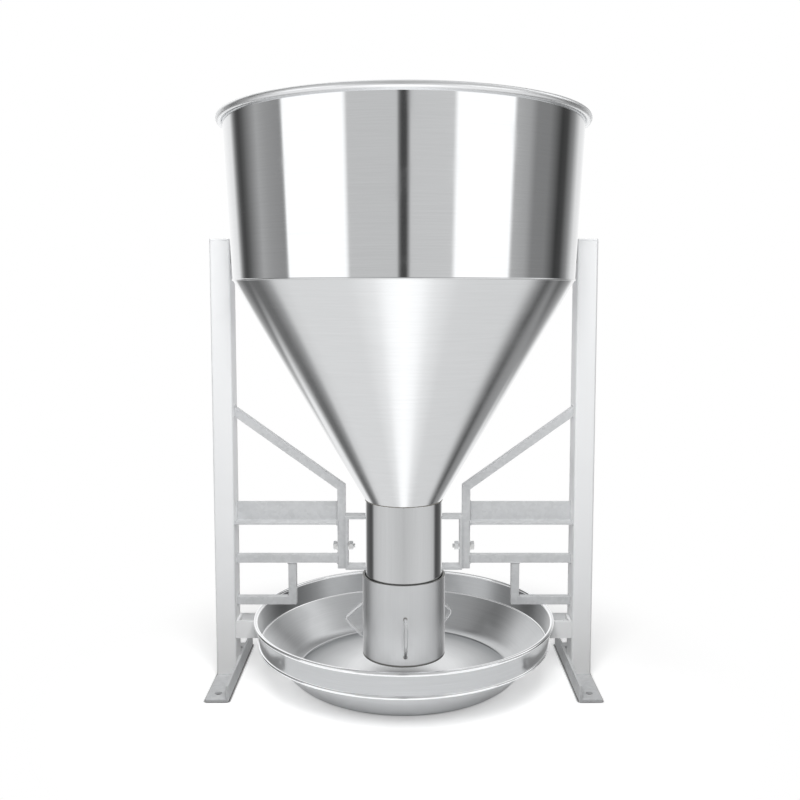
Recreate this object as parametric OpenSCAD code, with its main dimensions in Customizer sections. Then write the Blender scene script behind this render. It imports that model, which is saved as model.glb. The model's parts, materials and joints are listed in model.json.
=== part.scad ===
// Free-standing pig feeder: a tapered steel hopper between two side frames.
// A swivelling feed sleeve hangs over the outlet tube, above a round bowl.
// Millimetres, +Z up. The origin is on the floor, under the middle of the hopper.

/* [Hopper] */
// Outer radius of the drum at its rim
drum_top_r = 279; // [270:0.5:310]
// Outer radius of the drum at its seam with the cone
drum_seam_r = 266.5; // [240:0.5:280]
// Height of the drum, from the seam to the middle of the rim bead
drum_h = 242; // [160:1:340]
// Height of the cone
cone_h = 351; // [280:1:420]
// Thickness of the hopper sheet
sheet_t = 1.5; // [1:0.1:2.5]
// Diameter of the bead rolled outwards round the rim
rim_bead_d = 11; // [6:0.5:16]
// Height of the cone's collar inside the drum
cone_lap = 14; // [8:1:25]
// Outer radius of the outlet tube
tube_r = 62; // [45:0.5:75]
// Length of the outlet tube below the cone
tube_len = 168; // [130:1:230]

/* [Feed sleeve] */
// Radial gap between the tube and the sleeve
sleeve_gap = 3.5; // [2.5:0.1:8]
// Height of the sleeve
sleeve_h = 131; // [100:1:170]
// Length of tube that the sleeve covers
tube_lap = 45; // [30:1:60]
// Gap between the sleeve and the bowl's floor at rest
feed_gap = 30.5; // [24:0.5:50]
// How far the sleeve can be lifted
sleeve_lift = 6; // [3:0.5:15]
// How far the sleeve can be lowered
sleeve_drop = 15; // [5:0.5:18]
// Wire diameter of the nudge loops
wire_d = 5; // [4:0.5:7]
// Height of a nudge loop at the sleeve's wall
loop_h = 62; // [44:1:76]
// How far a nudge loop stands out from the sleeve
loop_reach = 33; // [24:1:45]
// Bend radius at the tip of a nudge loop
loop_bend_r = 8; // [5:0.5:11]
// Height of the middle of a nudge loop above the sleeve's lower edge
loop_up = 47; // [42:1:60]
// Direction of the front nudge loop
loop_front_az = -88; // [-110:1:-70]
// Direction of the right nudge loop
loop_right_az = 36; // [20:1:60]
// Direction of the left nudge loop
loop_left_az = 166; // [140:1:180]

/* [Spider and rod] */
// Diameter of the adjusting rod
rod_d = 14; // [10:0.5:18]
// Height of the spider above the sleeve's lower edge
spider_up = 12; // [11:0.5:20]
// Height of the spider's arms
arm_h = 16; // [10:1:24]
// Thickness of the spider's arms
arm_t = 4; // [3:0.5:6]
// Wall of the spider's hub round the rod
hub_wall = 8; // [5:0.5:12]
// Wall of the collar above the hub
collar_wall = 6; // [4:0.5:10]
// Height of the collar above the hub
collar_h = 10; // [6:1:16]
// Thickness of the thrust washer under the hub
thrust_t = 2.5; // [2:0.5:4]
// Height of a lock nut
lock_nut_h = 4; // [3:0.5:6]
// Height of the hand nut's hub
hand_nut_h = 22; // [16:1:32]
// Wall of the hand nut's hub round the rod
hand_nut_wall = 9; // [6:0.5:14]
// Length of the hand nut's cross bar
hand_bar_len = 110; // [80:1:150]
// Diameter of the hand nut's cross bar
hand_bar_d = 9; // [6:0.5:12]
// Diameter of the knobs on the cross bar
knob_d = 16; // [13:1:22]
// Height of the rod's end nut
end_nut_h = 12; // [8:1:18]
// Width of the keyway in the rod
keyway_w = 5; // [3:0.5:6]
// Depth of the keyway in the rod
keyway_d = 2.5; // [1.5:0.1:3]

/* [Bridge bar] */
// Width of the bridge bar
bridge_w = 40; // [38:1:60]
// Thickness of the bridge bar and its tabs
bridge_t = 5; // [3:0.5:8]
// Height of the tabs at the ends of the bridge bar
tab_h = 42; // [40:1:52]
// Height of the hopper bolts above the underside of the bridge bar
tab_bolt_up = 22; // [20:0.5:26]
// Wall of the guide bush round the rod
bush_wall = 4; // [3:0.5:6]
// Width of the guide bush's flange beyond its body
bush_flange_w = 6; // [3:0.5:10]
// Thickness of the guide bush's flange
bush_flange_t = 4; // [2:0.5:6]
// Thickness of the key plate
key_t = 5; // [3:0.5:8]
// Width of the key plate
key_plate_w = 16; // [13:1:24]
// Distance of the key screw from the rod's axis
key_screw_out = 26; // [24:1:32]

/* [Bowl] */
// Outer radius of the bowl's band at the top
bowl_rim_r = 240; // [215:1:255]
// Height of the bowl's band
band_h = 35; // [25:1:50]
// Outer radius of the pan where the band begins
pan_r = 229; // [205:1:236]
// Width of the ledge that the band stands on
ledge_w = 4; // [3:0.5:6]
// Height of the pan from its underside to the ledge
pan_h = 59.5; // [45:0.5:75]
// Radius of the pan's flat floor
pan_floor_r = 155; // [135:1:170]
// Bend radius between the pan's floor and its side
pan_bend_r = 45; // [25:1:55]
// Sheet thickness of the bowl
bowl_t = 1.5; // [1:0.1:2.5]
// Diameter of the bead round the bowl's rim
bowl_bead_d = 6; // [5:0.5:9]
// Height of the bowl's underside above the floor
bowl_clear = 2; // [1:0.5:10]

/* [Stand] */
// Width of a post, seen from the front
post_w = 32; // [26:1:45]
// Depth of a post, front to back
post_d = 46; // [44:1:70]
// Wall of a post
post_wall = 2; // [1.5:0.5:4]
// Corner radius of a post
post_corner_r = 4; // [2:0.5:6]
// How far a post reaches above the hopper bolts
post_above_bolt = 20; // [20:1:40]
// Thickness of the packing pads at the top of the posts
pad_gap = 1; // [0.5:0.1:8]
// Size of the packing pads
pad_size = 28; // [24:1:36]
// Thickness of a post cap
cap_t = 3; // [2:0.5:6]
// Length of a post cap's plug
cap_plug = 10; // [6:1:12]
// Length of a foot, front to back
foot_len = 230; // [180:1:320]
// Width of a foot
foot_w = 35; // [30:1:60]
// Height of a foot's upright flange
foot_flange_h = 25; // [15:1:40]
// Thickness of a foot
foot_t = 4; // [3:0.5:6]
// Diameter of the floor bolt holes
foot_hole_d = 11; // [8:0.5:16]
// Distance of a floor bolt hole from the end of the foot
foot_hole_edge = 23; // [16:1:30]

/* [Side bars] */
// Side of the square bars
bar = 13; // [12:0.5:18]
// Height of the brace's bend above the rail
brace_bend_up = 25; // [12:1:30]
// Rise of the brace from its bend to the post
brace_rise = 123; // [60:1:150]
// Height of the rail
rail_h = 33; // [25:1:50]
// Depth of the rail's lower leg
rail_d = 26; // [18:1:40]
// Thickness of the rail
rail_t = 3; // [2:0.5:5]
// Height of the rail above the mid bar
rail_up = 53; // [42:1:70]
// Height of the mid bar above the tube strap's lower edge
mid_bar_up = 9.5; // [0:0.5:15]
// Height of the lower bar above the bowl's rim
lower_bar_up = 15; // [8:0.5:25]
// Distance of the lower bar's upright from the post
lower_bar_reach = 90; // [60:1:110]

/* [Tube straps] */
// Distance from the tube to the brace
strap_reach = 32; // [28:1:45]
// Height of a strap
strap_h = 87; // [75:1:110]
// Width of a strap, front to back
strap_w = 28; // [20:1:40]
// Thickness of a strap
strap_t = 4; // [3:0.5:6]
// Gap between the strap and the lifted sleeve
strap_clear = 3.5; // [1:0.5:10]
// Height of the strap bolt above the mid bar
strap_bolt_up = 14; // [11:0.5:18]

/* [Bowl brackets] */
// Depth of a bracket, front to back
bracket_d = 40; // [38:1:44]
// Thickness of a bracket
bracket_t = 4; // [3:0.5:6]
// Thread diameter of the bracket bolts
bracket_bolt_d = 6; // [5:0.5:7]
// Least room between the bowl's rim and a post
bracket_room = 20; // [18:1:40]

/* [Fasteners] */
// Thread diameter of the bolts
bolt_d = 8; // [6:0.5:10]
// Height of a bolt head
bolt_head_h = 5.3; // [4:0.1:7]
// Height of a nut
nut_h = 6.5; // [5:0.5:8]
// Thickness of a washer
washer_t = 1.6; // [1:0.1:2.5]
// Thread diameter of the key screw
screw_d = 5; // [4:0.5:6]

/* [Clearances] */
// Gap at a welded or folded edge
weld_gap = 0.1; // [0.05:0.05:0.2]
// Radial gap of a turning, sliding or threaded fit
run_gap = 0.05; // [0.02:0.01:0.1]
// Axial gap at a turning face
thrust_gap = 0.2; // [0.1:0.05:0.5]
// Gap between the rod's end nut and the hand nut at the lowest setting
end_stop_gap = 1; // [0.5:0.5:3]
// Radial gap of a bolt in its hole
bolt_gap = 0.5; // [0.2:0.1:1]
// Gap beside the key in its keyway
key_gap = 0.3; // [0.2:0.05:0.5]

/* [Hidden] */
$fn = 240;
hex_sides = 6;
past = 1;

// Colours
steel = [0.80, 0.81, 0.82];
satin = [0.74, 0.75, 0.77];
paint = [0.86, 0.87, 0.88];
bar_grey = [0.72, 0.73, 0.74];
bright = [0.85, 0.86, 0.87];
rubber = [0.15, 0.15, 0.16];

// Heights, from the floor up
bowl_floor_z = bowl_clear + bowl_t;
ledge_z = bowl_clear + pan_h;
band_top_z = ledge_z + band_h;
bowl_top_z = band_top_z + bowl_bead_d / 2;
sleeve_z = bowl_floor_z + feed_gap;
sleeve_top_z = sleeve_z + sleeve_h;
tube_z = sleeve_top_z - tube_lap;
tube_top_z = tube_z + tube_len;
seam_z = tube_top_z + cone_h;
rim_z = seam_z + drum_h;
bridge_clear = 5;
bridge_z = seam_z + cone_lap + bridge_clear;
hopper_bolt_z = bridge_z + tab_bolt_up;
post_top_z = hopper_bolt_z + post_above_bolt;
strap_z = sleeve_top_z + sleeve_lift + strap_clear;
mid_bar_z = strap_z + mid_bar_up;
rail_z = mid_bar_z + bar + rail_up;
bend_z = rail_z + rail_h + brace_bend_up;
lower_bar_z = bowl_top_z + lower_bar_up;
strap_bolt_z = mid_bar_z + bar + strap_bolt_up;

// Radii of the hopper, the sleeve and the bowl
function drum_r(z) = drum_seam_r + (drum_top_r - drum_seam_r) * (z - seam_z) / drum_h;
function cone_r(z) = tube_r + (drum_seam_r - tube_r) * (z - tube_top_z) / cone_h;
function band_r(z) = pan_r + ledge_w + (bowl_rim_r - pan_r - ledge_w) * (z - ledge_z) / band_h;
cone_wall = sheet_t * norm([cone_h, drum_seam_r - tube_r]) / cone_h;
sleeve_in_r = tube_r + sleeve_gap;
sleeve_r = sleeve_in_r + sheet_t;

// Places of the side frames
hopper_side_x = max(drum_seam_r, drum_r(post_top_z)) + pad_gap;
bowl_side_x = max(bowl_rim_r + bowl_bead_d / 2, pan_r + ledge_w) + bracket_room;
post_x = max(hopper_side_x, bowl_side_x);
brace_in_x = tube_r + strap_reach;
brace_x = brace_in_x + bar / 2;
brace_out_x = brace_in_x + bar;
least_corner_r = 0.5;
foot_x = post_x - foot_t;
foot_hole_x = post_x + (foot_w - foot_t) / 2;
foot_hole_y = foot_len / 2 - foot_hole_edge;

// Fasteners
bolt_r = bolt_d / 2;
bolt_hole_r = bolt_r + bolt_gap;
hex_ratio = 0.94;
bolt_end = 3;
function hex_r(d) = d * hex_ratio;
function head_h(d) = bolt_head_h * d / bolt_d;
function nut_len(d) = nut_h * d / bolt_d;
bracket_edge = 2;
bracket_z = ledge_z + bracket_edge;
bracket_h = band_h - bowl_bead_d / 2 - 2 * bracket_edge;
bracket_bolt_z = bracket_z + bracket_h / 2;
bracket_bolt_y = (bracket_d / 2 - bracket_t) / 2;
bracket_hole_r = bracket_bolt_d / 2 + bolt_gap;

// Rod, spider and bridge bar
rod_r = rod_d / 2;
spider_z = sleeve_z + spider_up;
thrust_top_z = spider_z - thrust_gap;
lock_nuts_z = thrust_top_z - thrust_t - 2 * lock_nut_h - weld_gap;
rod_end = 2;
rod_z = lock_nuts_z - rod_end;
collar_z = spider_z + arm_h + thrust_gap;
bush_r = rod_r + bush_wall;
bridge_top_z = bridge_z + bridge_t;
hand_nut_z = bridge_top_z + bush_flange_t + thrust_gap;
end_nut_z = hand_nut_z + hand_nut_h + sleeve_drop + end_stop_gap;
rod_top_z = end_nut_z + end_nut_h + rod_end;
tab_in_x = min(drum_r(bridge_z), drum_r(bridge_z + tab_h)) - sheet_t - weld_gap - bridge_t;
screw_r = screw_d / 2;

// Mirrors its children to the left side
module to_left() {
  mirror([1, 0, 0])
    children();
}

// Puts its children on both sides
module both_sides() {
  children();
  to_left()
    children();
}

// A cylinder along X, from one X to another
module along_x(r, x0, x1, y, z, sides = $fn) {
  translate([x0, y, z])
    rotate([0, 90, 0])
      cylinder(r = r, h = x1 - x0, $fn = sides);
}

// A block between two corners
module block(low, high) {
  translate(low)
    cube(high - low);
}

// A flat shape of points in X and Z, thick along Y about the middle plane
module upright_plate(points, thick) {
  translate([0, thick / 2, 0])
    rotate([90, 0, 0])
      linear_extrude(thick)
        polygon(points);
}

// A ring turned from points in radius and height
module turned(points) {
  rotate_extrude()
    polygon(points);
}

// A tube wall
module tube_wall(r_out, r_in, z0, z1) {
  turned([[r_in, z0], [r_out, z0], [r_out, z1], [r_in, z1]]);
}

// A rectangle with round corners, from X = 0 and centred on Y
module round_rect(w, d, r) {
  translate([r, -d / 2])
    square([w - 2 * r, d]);
  translate([0, -d / 2 + r])
    square([w, d - 2 * r]);
  for (x = [r, w - r], y = [-d / 2 + r, d / 2 - r])
    translate([x, y])
      circle(r);
}

// A bead rolled round the edge of a leaning sheet, with its middle a distance out from the sheet's middle
module rolled_bead(r, z, d, t, lean, out) {
  rotate_extrude()
    difference() {
      translate([r + out, z])
        circle(d = d);
      polygon([
        [r - t / 2 - weld_gap - lean * d, z - d],
        [r + t / 2 + weld_gap - lean * d, z - d],
        [r + t / 2 + weld_gap, z],
        [r - t / 2 - weld_gap, z]
      ]);
    }
}

// The space inside the drum, kept clear of its wall by a gap
module drum_inside(gap) {
  z0 = seam_z;
  z1 = rim_z;
  turned([[0, z0], [drum_r(z0) - sheet_t - gap, z0], [drum_r(z1) - sheet_t - gap, z1], [0, z1]]);
}

module hopper_drum() {
  color(steel)
    difference() {
      turned([
        [drum_r(seam_z) - sheet_t, seam_z],
        [drum_r(seam_z), seam_z],
        [drum_r(rim_z), rim_z],
        [drum_r(rim_z) - sheet_t, rim_z]
      ]);
      both_sides()
        along_x(bolt_hole_r, tab_in_x, post_x, 0, hopper_bolt_z);
    }
}

module rim_bead() {
  lean = (drum_top_r - drum_seam_r) / drum_h;
  color(steel)
    rolled_bead(drum_top_r - sheet_t / 2, rim_z, rim_bead_d, sheet_t, lean, (rim_bead_d - sheet_t) / 2);
}

module hopper_cone() {
  lap_r = drum_r(seam_z) - sheet_t - weld_gap;
  lap_top_z = seam_z + cone_lap;
  lap_top_r = drum_r(lap_top_z) - sheet_t - weld_gap;
  color(satin)
    turned([
      [tube_r - cone_wall, tube_top_z],
      [tube_r, tube_top_z],
      [drum_seam_r, seam_z],
      [lap_r, seam_z],
      [lap_top_r, lap_top_z],
      [lap_top_r - sheet_t, lap_top_z],
      [lap_r - sheet_t, seam_z],
      [drum_seam_r - cone_wall - 2 * sheet_t, seam_z - 2 * sheet_t * cone_h / (drum_seam_r - tube_r)]
    ]);
}

module outlet_tube() {
  color(steel)
    tube_wall(tube_r, tube_r - sheet_t, tube_z, tube_top_z);
}

module right_post() {
  in_w = post_w - 2 * post_wall;
  in_d = post_d - 2 * post_wall;
  in_corner_r = max(post_corner_r - post_wall, least_corner_r);
  color(paint)
    difference() {
      translate([post_x, 0, foot_t])
        linear_extrude(post_top_z - foot_t)
          difference() {
            round_rect(post_w, post_d, post_corner_r);
            translate([post_wall, 0])
              round_rect(in_w, in_d, in_corner_r);
          }
      along_x(bolt_hole_r, post_x - past, post_x + post_wall + past, 0, hopper_bolt_z);
      for (y = [-bracket_bolt_y, bracket_bolt_y])
        along_x(bracket_hole_r, post_x - past, post_x + post_wall + past, y, bracket_bolt_z);
    }
}

module left_post() {
  to_left()
    right_post();
}

module right_post_cap() {
  inset = post_wall + weld_gap;
  color(paint) {
    translate([post_x, 0, post_top_z])
      linear_extrude(cap_t)
        round_rect(post_w, post_d, post_corner_r);
    translate([post_x + inset, 0, post_top_z - cap_plug])
      linear_extrude(cap_plug)
        round_rect(post_w - 2 * inset, post_d - 2 * inset, max(post_corner_r - inset, least_corner_r));
  }
}

module left_post_cap() {
  to_left()
    right_post_cap();
}

module right_foot() {
  color(bar_grey)
    difference() {
      translate([0, foot_len / 2, 0])
        rotate([90, 0, 0])
          linear_extrude(foot_len)
            polygon([
              [foot_x, 0],
              [foot_x + foot_w, 0],
              [foot_x + foot_w, foot_t],
              [post_x, foot_t],
              [post_x, foot_flange_h],
              [foot_x, foot_flange_h]
            ]);
      for (y = [-foot_hole_y, foot_hole_y])
        translate([foot_hole_x, y, -past])
          cylinder(d = foot_hole_d, h = foot_t + 2 * past);
    }
}

module left_foot() {
  to_left()
    right_foot();
}

module right_brace() {
  slope = atan2(brace_rise, post_x - brace_x);
  corner = bar / 2 * (1 - sin(slope)) / cos(slope);
  end_half = bar / 2 / cos(slope);
  end_z = bend_z + brace_rise;
  color(bar_grey)
    difference() {
      upright_plate([
        [post_x, end_z - end_half],
        [post_x, end_z + end_half],
        [brace_in_x, bend_z + corner],
        [brace_in_x, strap_z],
        [brace_out_x, strap_z],
        [brace_out_x, bend_z - corner]
      ], bar);
      along_x(bolt_hole_r, brace_in_x - past, brace_out_x + past, 0, strap_bolt_z);
    }
}

module left_brace() {
  to_left()
    right_brace();
}

module right_rail() {
  back_y = bar / 2;
  color(bar_grey) {
    block([brace_out_x, back_y - rail_d, rail_z], [post_x, back_y, rail_z + rail_t]);
    block([brace_out_x, back_y - rail_t, rail_z], [post_x, back_y, rail_z + rail_h]);
  }
}

module left_rail() {
  to_left()
    right_rail();
}

module right_mid_bar() {
  color(bar_grey)
    block([brace_out_x, -bar / 2, mid_bar_z], [post_x, bar / 2, mid_bar_z + bar]);
}

module left_mid_bar() {
  to_left()
    right_mid_bar();
}

module right_lower_bar() {
  x = post_x - lower_bar_reach;
  color(bar_grey)
    upright_plate([
      [post_x, lower_bar_z],
      [post_x, lower_bar_z + bar],
      [x + bar / 2, lower_bar_z + bar],
      [x + bar / 2, mid_bar_z],
      [x - bar / 2, mid_bar_z],
      [x - bar / 2, lower_bar_z]
    ], bar);
}

module left_lower_bar() {
  to_left()
    right_lower_bar();
}

module right_tube_strap() {
  top_z = strap_z + strap_h;
  web_x = brace_in_x - strap_t;
  color(bar_grey)
    difference() {
      upright_plate([
        [0, strap_z],
        [brace_in_x, strap_z],
        [brace_in_x, top_z],
        [0, top_z],
        [0, top_z - strap_t],
        [web_x, top_z - strap_t],
        [web_x, strap_z + strap_t],
        [0, strap_z + strap_t]
      ], strap_w);
      translate([0, 0, strap_z - past])
        cylinder(r = tube_r + weld_gap, h = strap_h + 2 * past);
      along_x(bolt_hole_r, web_x - past, brace_in_x + past, 0, strap_bolt_z);
    }
}

module left_tube_strap() {
  to_left()
    right_tube_strap();
}

module strap_bolts() {
  head_x = brace_out_x + washer_t;
  end_x = brace_in_x - strap_t - washer_t - nut_h - bolt_end;
  color(bright)
    both_sides() {
      along_x(bolt_r, end_x, head_x, 0, strap_bolt_z);
      along_x(hex_r(bolt_d), head_x, head_x + bolt_head_h, 0, strap_bolt_z, hex_sides);
    }
}

module strap_nuts() {
  nut_x = brace_in_x - strap_t - washer_t - nut_h;
  color(bright)
    both_sides()
      difference() {
        along_x(hex_r(bolt_d), nut_x, nut_x + nut_h, 0, strap_bolt_z, hex_sides);
        along_x(bolt_r + run_gap, nut_x - past, nut_x + nut_h + past, 0, strap_bolt_z);
      }
}

// In section, the pan's side leaves its bend at this angle and runs straight up to the ledge
pan_run = [pan_r - pan_floor_r, pan_h - bowl_t - pan_bend_r];
pan_bend_end = atan2(pan_run[1], pan_run[0]) - acos(pan_bend_r / norm(pan_run));

// A point of the pan's section, at radius r and an angle round the middle of its bend
function pan_point(r, angle) =
  [pan_floor_r + r * cos(angle), bowl_clear + pan_bend_r + r * sin(angle)];

module bowl_pan() {
  inner_r = pan_bend_r - bowl_t;
  side_start = pan_point(inner_r, pan_bend_end);
  side_end_r = side_start[0] - (ledge_z - side_start[1]) * tan(pan_bend_end);
  far = 2 * pan_bend_r;
  color(steel)
    rotate_extrude() {
      translate([0, bowl_clear])
        square([pan_floor_r, bowl_t]);
      intersection() {
        translate([pan_floor_r, bowl_clear + pan_bend_r])
          difference() {
            circle(pan_bend_r);
            circle(inner_r);
          }
        polygon([
          pan_point(0, 0),
          pan_point(far, -90),
          pan_point(far, (pan_bend_end - 90) / 2),
          pan_point(far, pan_bend_end)
        ]);
      }
      polygon([
        side_start,
        pan_point(pan_bend_r, pan_bend_end),
        [pan_r, ledge_z - bowl_t],
        [pan_r + ledge_w, ledge_z - bowl_t],
        [pan_r + ledge_w, ledge_z],
        [side_end_r, ledge_z]
      ]);
    }
}

module bowl_band() {
  color(steel)
    turned([
      [band_r(ledge_z) - bowl_t, ledge_z],
      [band_r(ledge_z), ledge_z],
      [band_r(band_top_z), band_top_z],
      [band_r(band_top_z) - bowl_t, band_top_z]
    ]);
}

module bowl_rim_bead() {
  lean = (bowl_rim_r - pan_r - ledge_w) / band_h;
  color(steel)
    rolled_bead(bowl_rim_r - bowl_t / 2, band_top_z, bowl_bead_d, bowl_t, lean, 0);
}

module right_bowl_bracket() {
  top_z = bracket_z + bracket_h;
  half = bracket_d / 2;
  in_x = pan_r / 2;
  color(paint)
    difference() {
      union() {
        for (y = [-half, half - bracket_t])
          block([in_x, y, bracket_z], [post_x, y + bracket_t, top_z]);
        block([post_x - bracket_t, -half, bracket_z], [post_x, half, top_z]);
      }
      turned([
        [0, bracket_z - past],
        [band_r(bracket_z - past) + weld_gap, bracket_z - past],
        [band_r(top_z + past) + weld_gap, top_z + past],
        [0, top_z + past]
      ]);
      for (y = [-bracket_bolt_y, bracket_bolt_y])
        along_x(bracket_hole_r, post_x - bracket_t - past, post_x + past, y, bracket_bolt_z);
    }
}

module left_bowl_bracket() {
  to_left()
    right_bowl_bracket();
}

// A bolt of diameter d, from under its head at head_x into the weld nut of a post
module post_bolt(d, head_x, y, z) {
  end_x = post_x + post_wall + nut_len(d) + bolt_end;
  along_x(d / 2, head_x, end_x, y, z);
  along_x(hex_r(d), head_x - head_h(d), head_x, y, z, hex_sides);
}

module bracket_bolts() {
  color(bright)
    both_sides()
      for (y = [-bracket_bolt_y, bracket_bolt_y])
        post_bolt(bracket_bolt_d, post_x - bracket_t - washer_t, y, bracket_bolt_z);
}

module bridge_bar() {
  half = bridge_w / 2;
  color(satin)
    difference() {
      intersection() {
        union() {
          block([-post_x, -half, bridge_z], [post_x, half, bridge_top_z]);
          both_sides()
            block([tab_in_x, -half, bridge_z], [post_x, half, bridge_z + tab_h]);
        }
        drum_inside(weld_gap);
      }
      both_sides()
        along_x(bolt_hole_r, tab_in_x - past, post_x, 0, hopper_bolt_z);
      translate([0, 0, bridge_z - past])
        cylinder(r = bush_r + run_gap, h = bridge_t + 2 * past);
      translate([key_screw_out, 0, bridge_z - past])
        cylinder(r = screw_r + run_gap, h = bridge_t + 2 * past);
    }
}

module drum_pads() {
  half = pad_size / 2;
  color(rubber)
    both_sides()
      difference() {
        block([drum_seam_r / 2, -half, hopper_bolt_z - half], [post_x, half, hopper_bolt_z + half]);
        turned([
          [0, seam_z],
          [drum_r(seam_z) + weld_gap, seam_z],
          [drum_r(rim_z) + weld_gap, rim_z],
          [0, rim_z]
        ]);
        along_x(bolt_hole_r, tab_in_x, post_x + past, 0, hopper_bolt_z);
      }
}

module hopper_bolts() {
  color(bright)
    both_sides()
      post_bolt(bolt_d, tab_in_x - washer_t, 0, hopper_bolt_z);
}

// A weld nut for a bolt of diameter d, on the inner side of a post's wall
module weld_nut(d, y, z) {
  x = post_x + post_wall;
  end_x = x + nut_len(d);
  difference() {
    along_x(hex_r(d), x, end_x, y, z, hex_sides);
    along_x(d / 2 + run_gap, x - past, end_x + past, y, z);
  }
}

module post_weld_nuts() {
  color(bar_grey)
    both_sides() {
      weld_nut(bolt_d, 0, hopper_bolt_z);
      for (y = [-bracket_bolt_y, bracket_bolt_y])
        weld_nut(bracket_bolt_d, y, bracket_bolt_z);
    }
}

// A washer for a bolt of diameter d, starting at x
module washer(d, x, y, z) {
  difference() {
    along_x(d, x, x + washer_t, y, z);
    along_x(d / 2 + run_gap, x - past, x + washer_t + past, y, z);
  }
}

module flat_washers() {
  color(bright)
    both_sides() {
      washer(bolt_d, brace_out_x, 0, strap_bolt_z);
      washer(bolt_d, brace_in_x - strap_t - washer_t, 0, strap_bolt_z);
      washer(bolt_d, tab_in_x - washer_t, 0, hopper_bolt_z);
      for (y = [-bracket_bolt_y, bracket_bolt_y])
        washer(bracket_bolt_d, post_x - bracket_t - washer_t, y, bracket_bolt_z);
    }
}

module guide_bush() {
  bore_r = rod_r + run_gap;
  color(bright) {
    tube_wall(bush_r, bore_r, bridge_z, bridge_top_z);
    tube_wall(bush_r + bush_flange_w, bore_r, bridge_top_z, bridge_top_z + bush_flange_t);
  }
}

module key_plate() {
  shoulder_gap = 2;
  tip_r = rod_r - keyway_d + key_gap;
  tip_half = keyway_w / 2 - key_gap;
  half = key_plate_w / 2;
  shoulder = rod_r + shoulder_gap;
  color(bright)
    difference() {
      translate([0, 0, bridge_z - key_t])
        linear_extrude(key_t)
          polygon([
            [tip_r, -tip_half],
            [shoulder, -tip_half],
            [shoulder, -half],
            [key_screw_out + half, -half],
            [key_screw_out + half, half],
            [shoulder, half],
            [shoulder, tip_half],
            [tip_r, tip_half]
          ]);
      translate([key_screw_out, 0, bridge_z - key_t - past])
        cylinder(r = screw_r + run_gap, h = key_t + 2 * past);
    }
}

module key_screw() {
  color(bright)
    translate([key_screw_out, 0, 0]) {
      translate([0, 0, bridge_z - key_t - past])
        cylinder(r = screw_r, h = bridge_t + key_t + past);
      translate([0, 0, bridge_top_z])
        cylinder(r = hex_r(screw_d), h = head_h(screw_d));
    }
}

module hand_nut() {
  hub_r = rod_r + hand_nut_wall;
  bar_z = hand_nut_z + hand_nut_h / 2;
  color(bright)
    difference() {
      union() {
        translate([0, 0, hand_nut_z])
          cylinder(r = hub_r, h = hand_nut_h);
        along_x(hand_bar_d / 2, -hand_bar_len / 2, hand_bar_len / 2, 0, bar_z);
        both_sides()
          translate([hand_bar_len / 2, 0, bar_z])
            sphere(d = knob_d);
      }
      translate([0, 0, hand_nut_z - past])
        cylinder(r = rod_r + run_gap, h = hand_nut_h + 2 * past);
    }
}

module adjusting_rod() {
  keyway_z = bridge_z - key_t - sleeve_lift - past;
  keyway_top_z = bridge_z + sleeve_drop + past;
  color(bright)
    difference() {
      translate([0, 0, rod_z])
        cylinder(r = rod_r, h = rod_top_z - rod_z);
      block(
        [rod_r - keyway_d, -keyway_w / 2, keyway_z],
        [rod_d, keyway_w / 2, keyway_top_z]
      );
    }
}

// A hexagon nut on the rod
module rod_nut(z, h) {
  difference() {
    translate([0, 0, z])
      cylinder(r = hex_r(rod_d), h = h, $fn = hex_sides);
    translate([0, 0, z - past])
      cylinder(r = rod_r + run_gap, h = h + 2 * past);
  }
}

module rod_end_nut() {
  color(bright)
    rod_nut(end_nut_z, end_nut_h);
}

module rod_collar() {
  color(bright)
    tube_wall(rod_r + collar_wall, rod_r + run_gap, collar_z, collar_z + collar_h);
}

module thrust_washer() {
  color(bright)
    tube_wall(rod_r + hub_wall, rod_r + run_gap, thrust_top_z - thrust_t, thrust_top_z);
}

module lock_nuts() {
  color(bright)
    for (i = [0, 1])
      rod_nut(lock_nuts_z + i * (lock_nut_h + weld_gap), lock_nut_h);
}

module feed_sleeve() {
  color(steel)
    tube_wall(sleeve_r, sleeve_in_r, sleeve_z, sleeve_top_z);
}

module sleeve_spider() {
  arms = 3;
  first_az = 30;
  color(satin)
    difference() {
      union() {
        translate([0, 0, spider_z])
          cylinder(r = rod_r + hub_wall, h = arm_h);
        intersection() {
          for (i = [0 : arms - 1])
            rotate([0, 0, first_az + i * 360 / arms])
              block([0, -arm_t / 2, spider_z], [sleeve_r, arm_t / 2, spider_z + arm_h]);
          translate([0, 0, spider_z])
            cylinder(r = sleeve_in_r - weld_gap, h = arm_h);
        }
      }
      translate([0, 0, spider_z - past])
        cylinder(r = rod_r + run_gap, h = arm_h + 2 * past);
    }
}

// A wire loop: two straight legs that join inside the ends of a round tip
module nudge_loop(az) {
  tip_r = sleeve_r + loop_reach - wire_d / 2 - loop_bend_r;
  run = tip_r - sleeve_r;
  half = loop_h / 2;
  lean = acos(loop_bend_r / norm([half, run])) - atan2(run, half);
  leg = (run + loop_bend_r * sin(lean)) / cos(lean) + wire_d;
  join = wire_d / 10;
  leg_r = wire_d / 2 - weld_gap / 2;
  color(bright)
    difference() {
      rotate([0, 0, az])
        translate([tip_r, 0, sleeve_z + loop_up])
          rotate([90, 0, 0]) {
            rotate([0, 0, lean - 90])
              rotate_extrude(angle = 2 * (90 - lean))
                translate([loop_bend_r, 0])
                  circle(d = wire_d);
            for (side = [-1, 1])
              rotate([0, 0, side * (90 - lean)])
                translate([loop_bend_r, -side * join, 0])
                  rotate([-90 * side, 0, 0])
                    cylinder(r = leg_r, h = leg + join);
          }
      translate([0, 0, sleeve_z])
        cylinder(r = sleeve_r + weld_gap, h = sleeve_h);
    }
}

module nudge_loop_front() {
  nudge_loop(loop_front_az);
}

module nudge_loop_left() {
  nudge_loop(loop_left_az);
}

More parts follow.
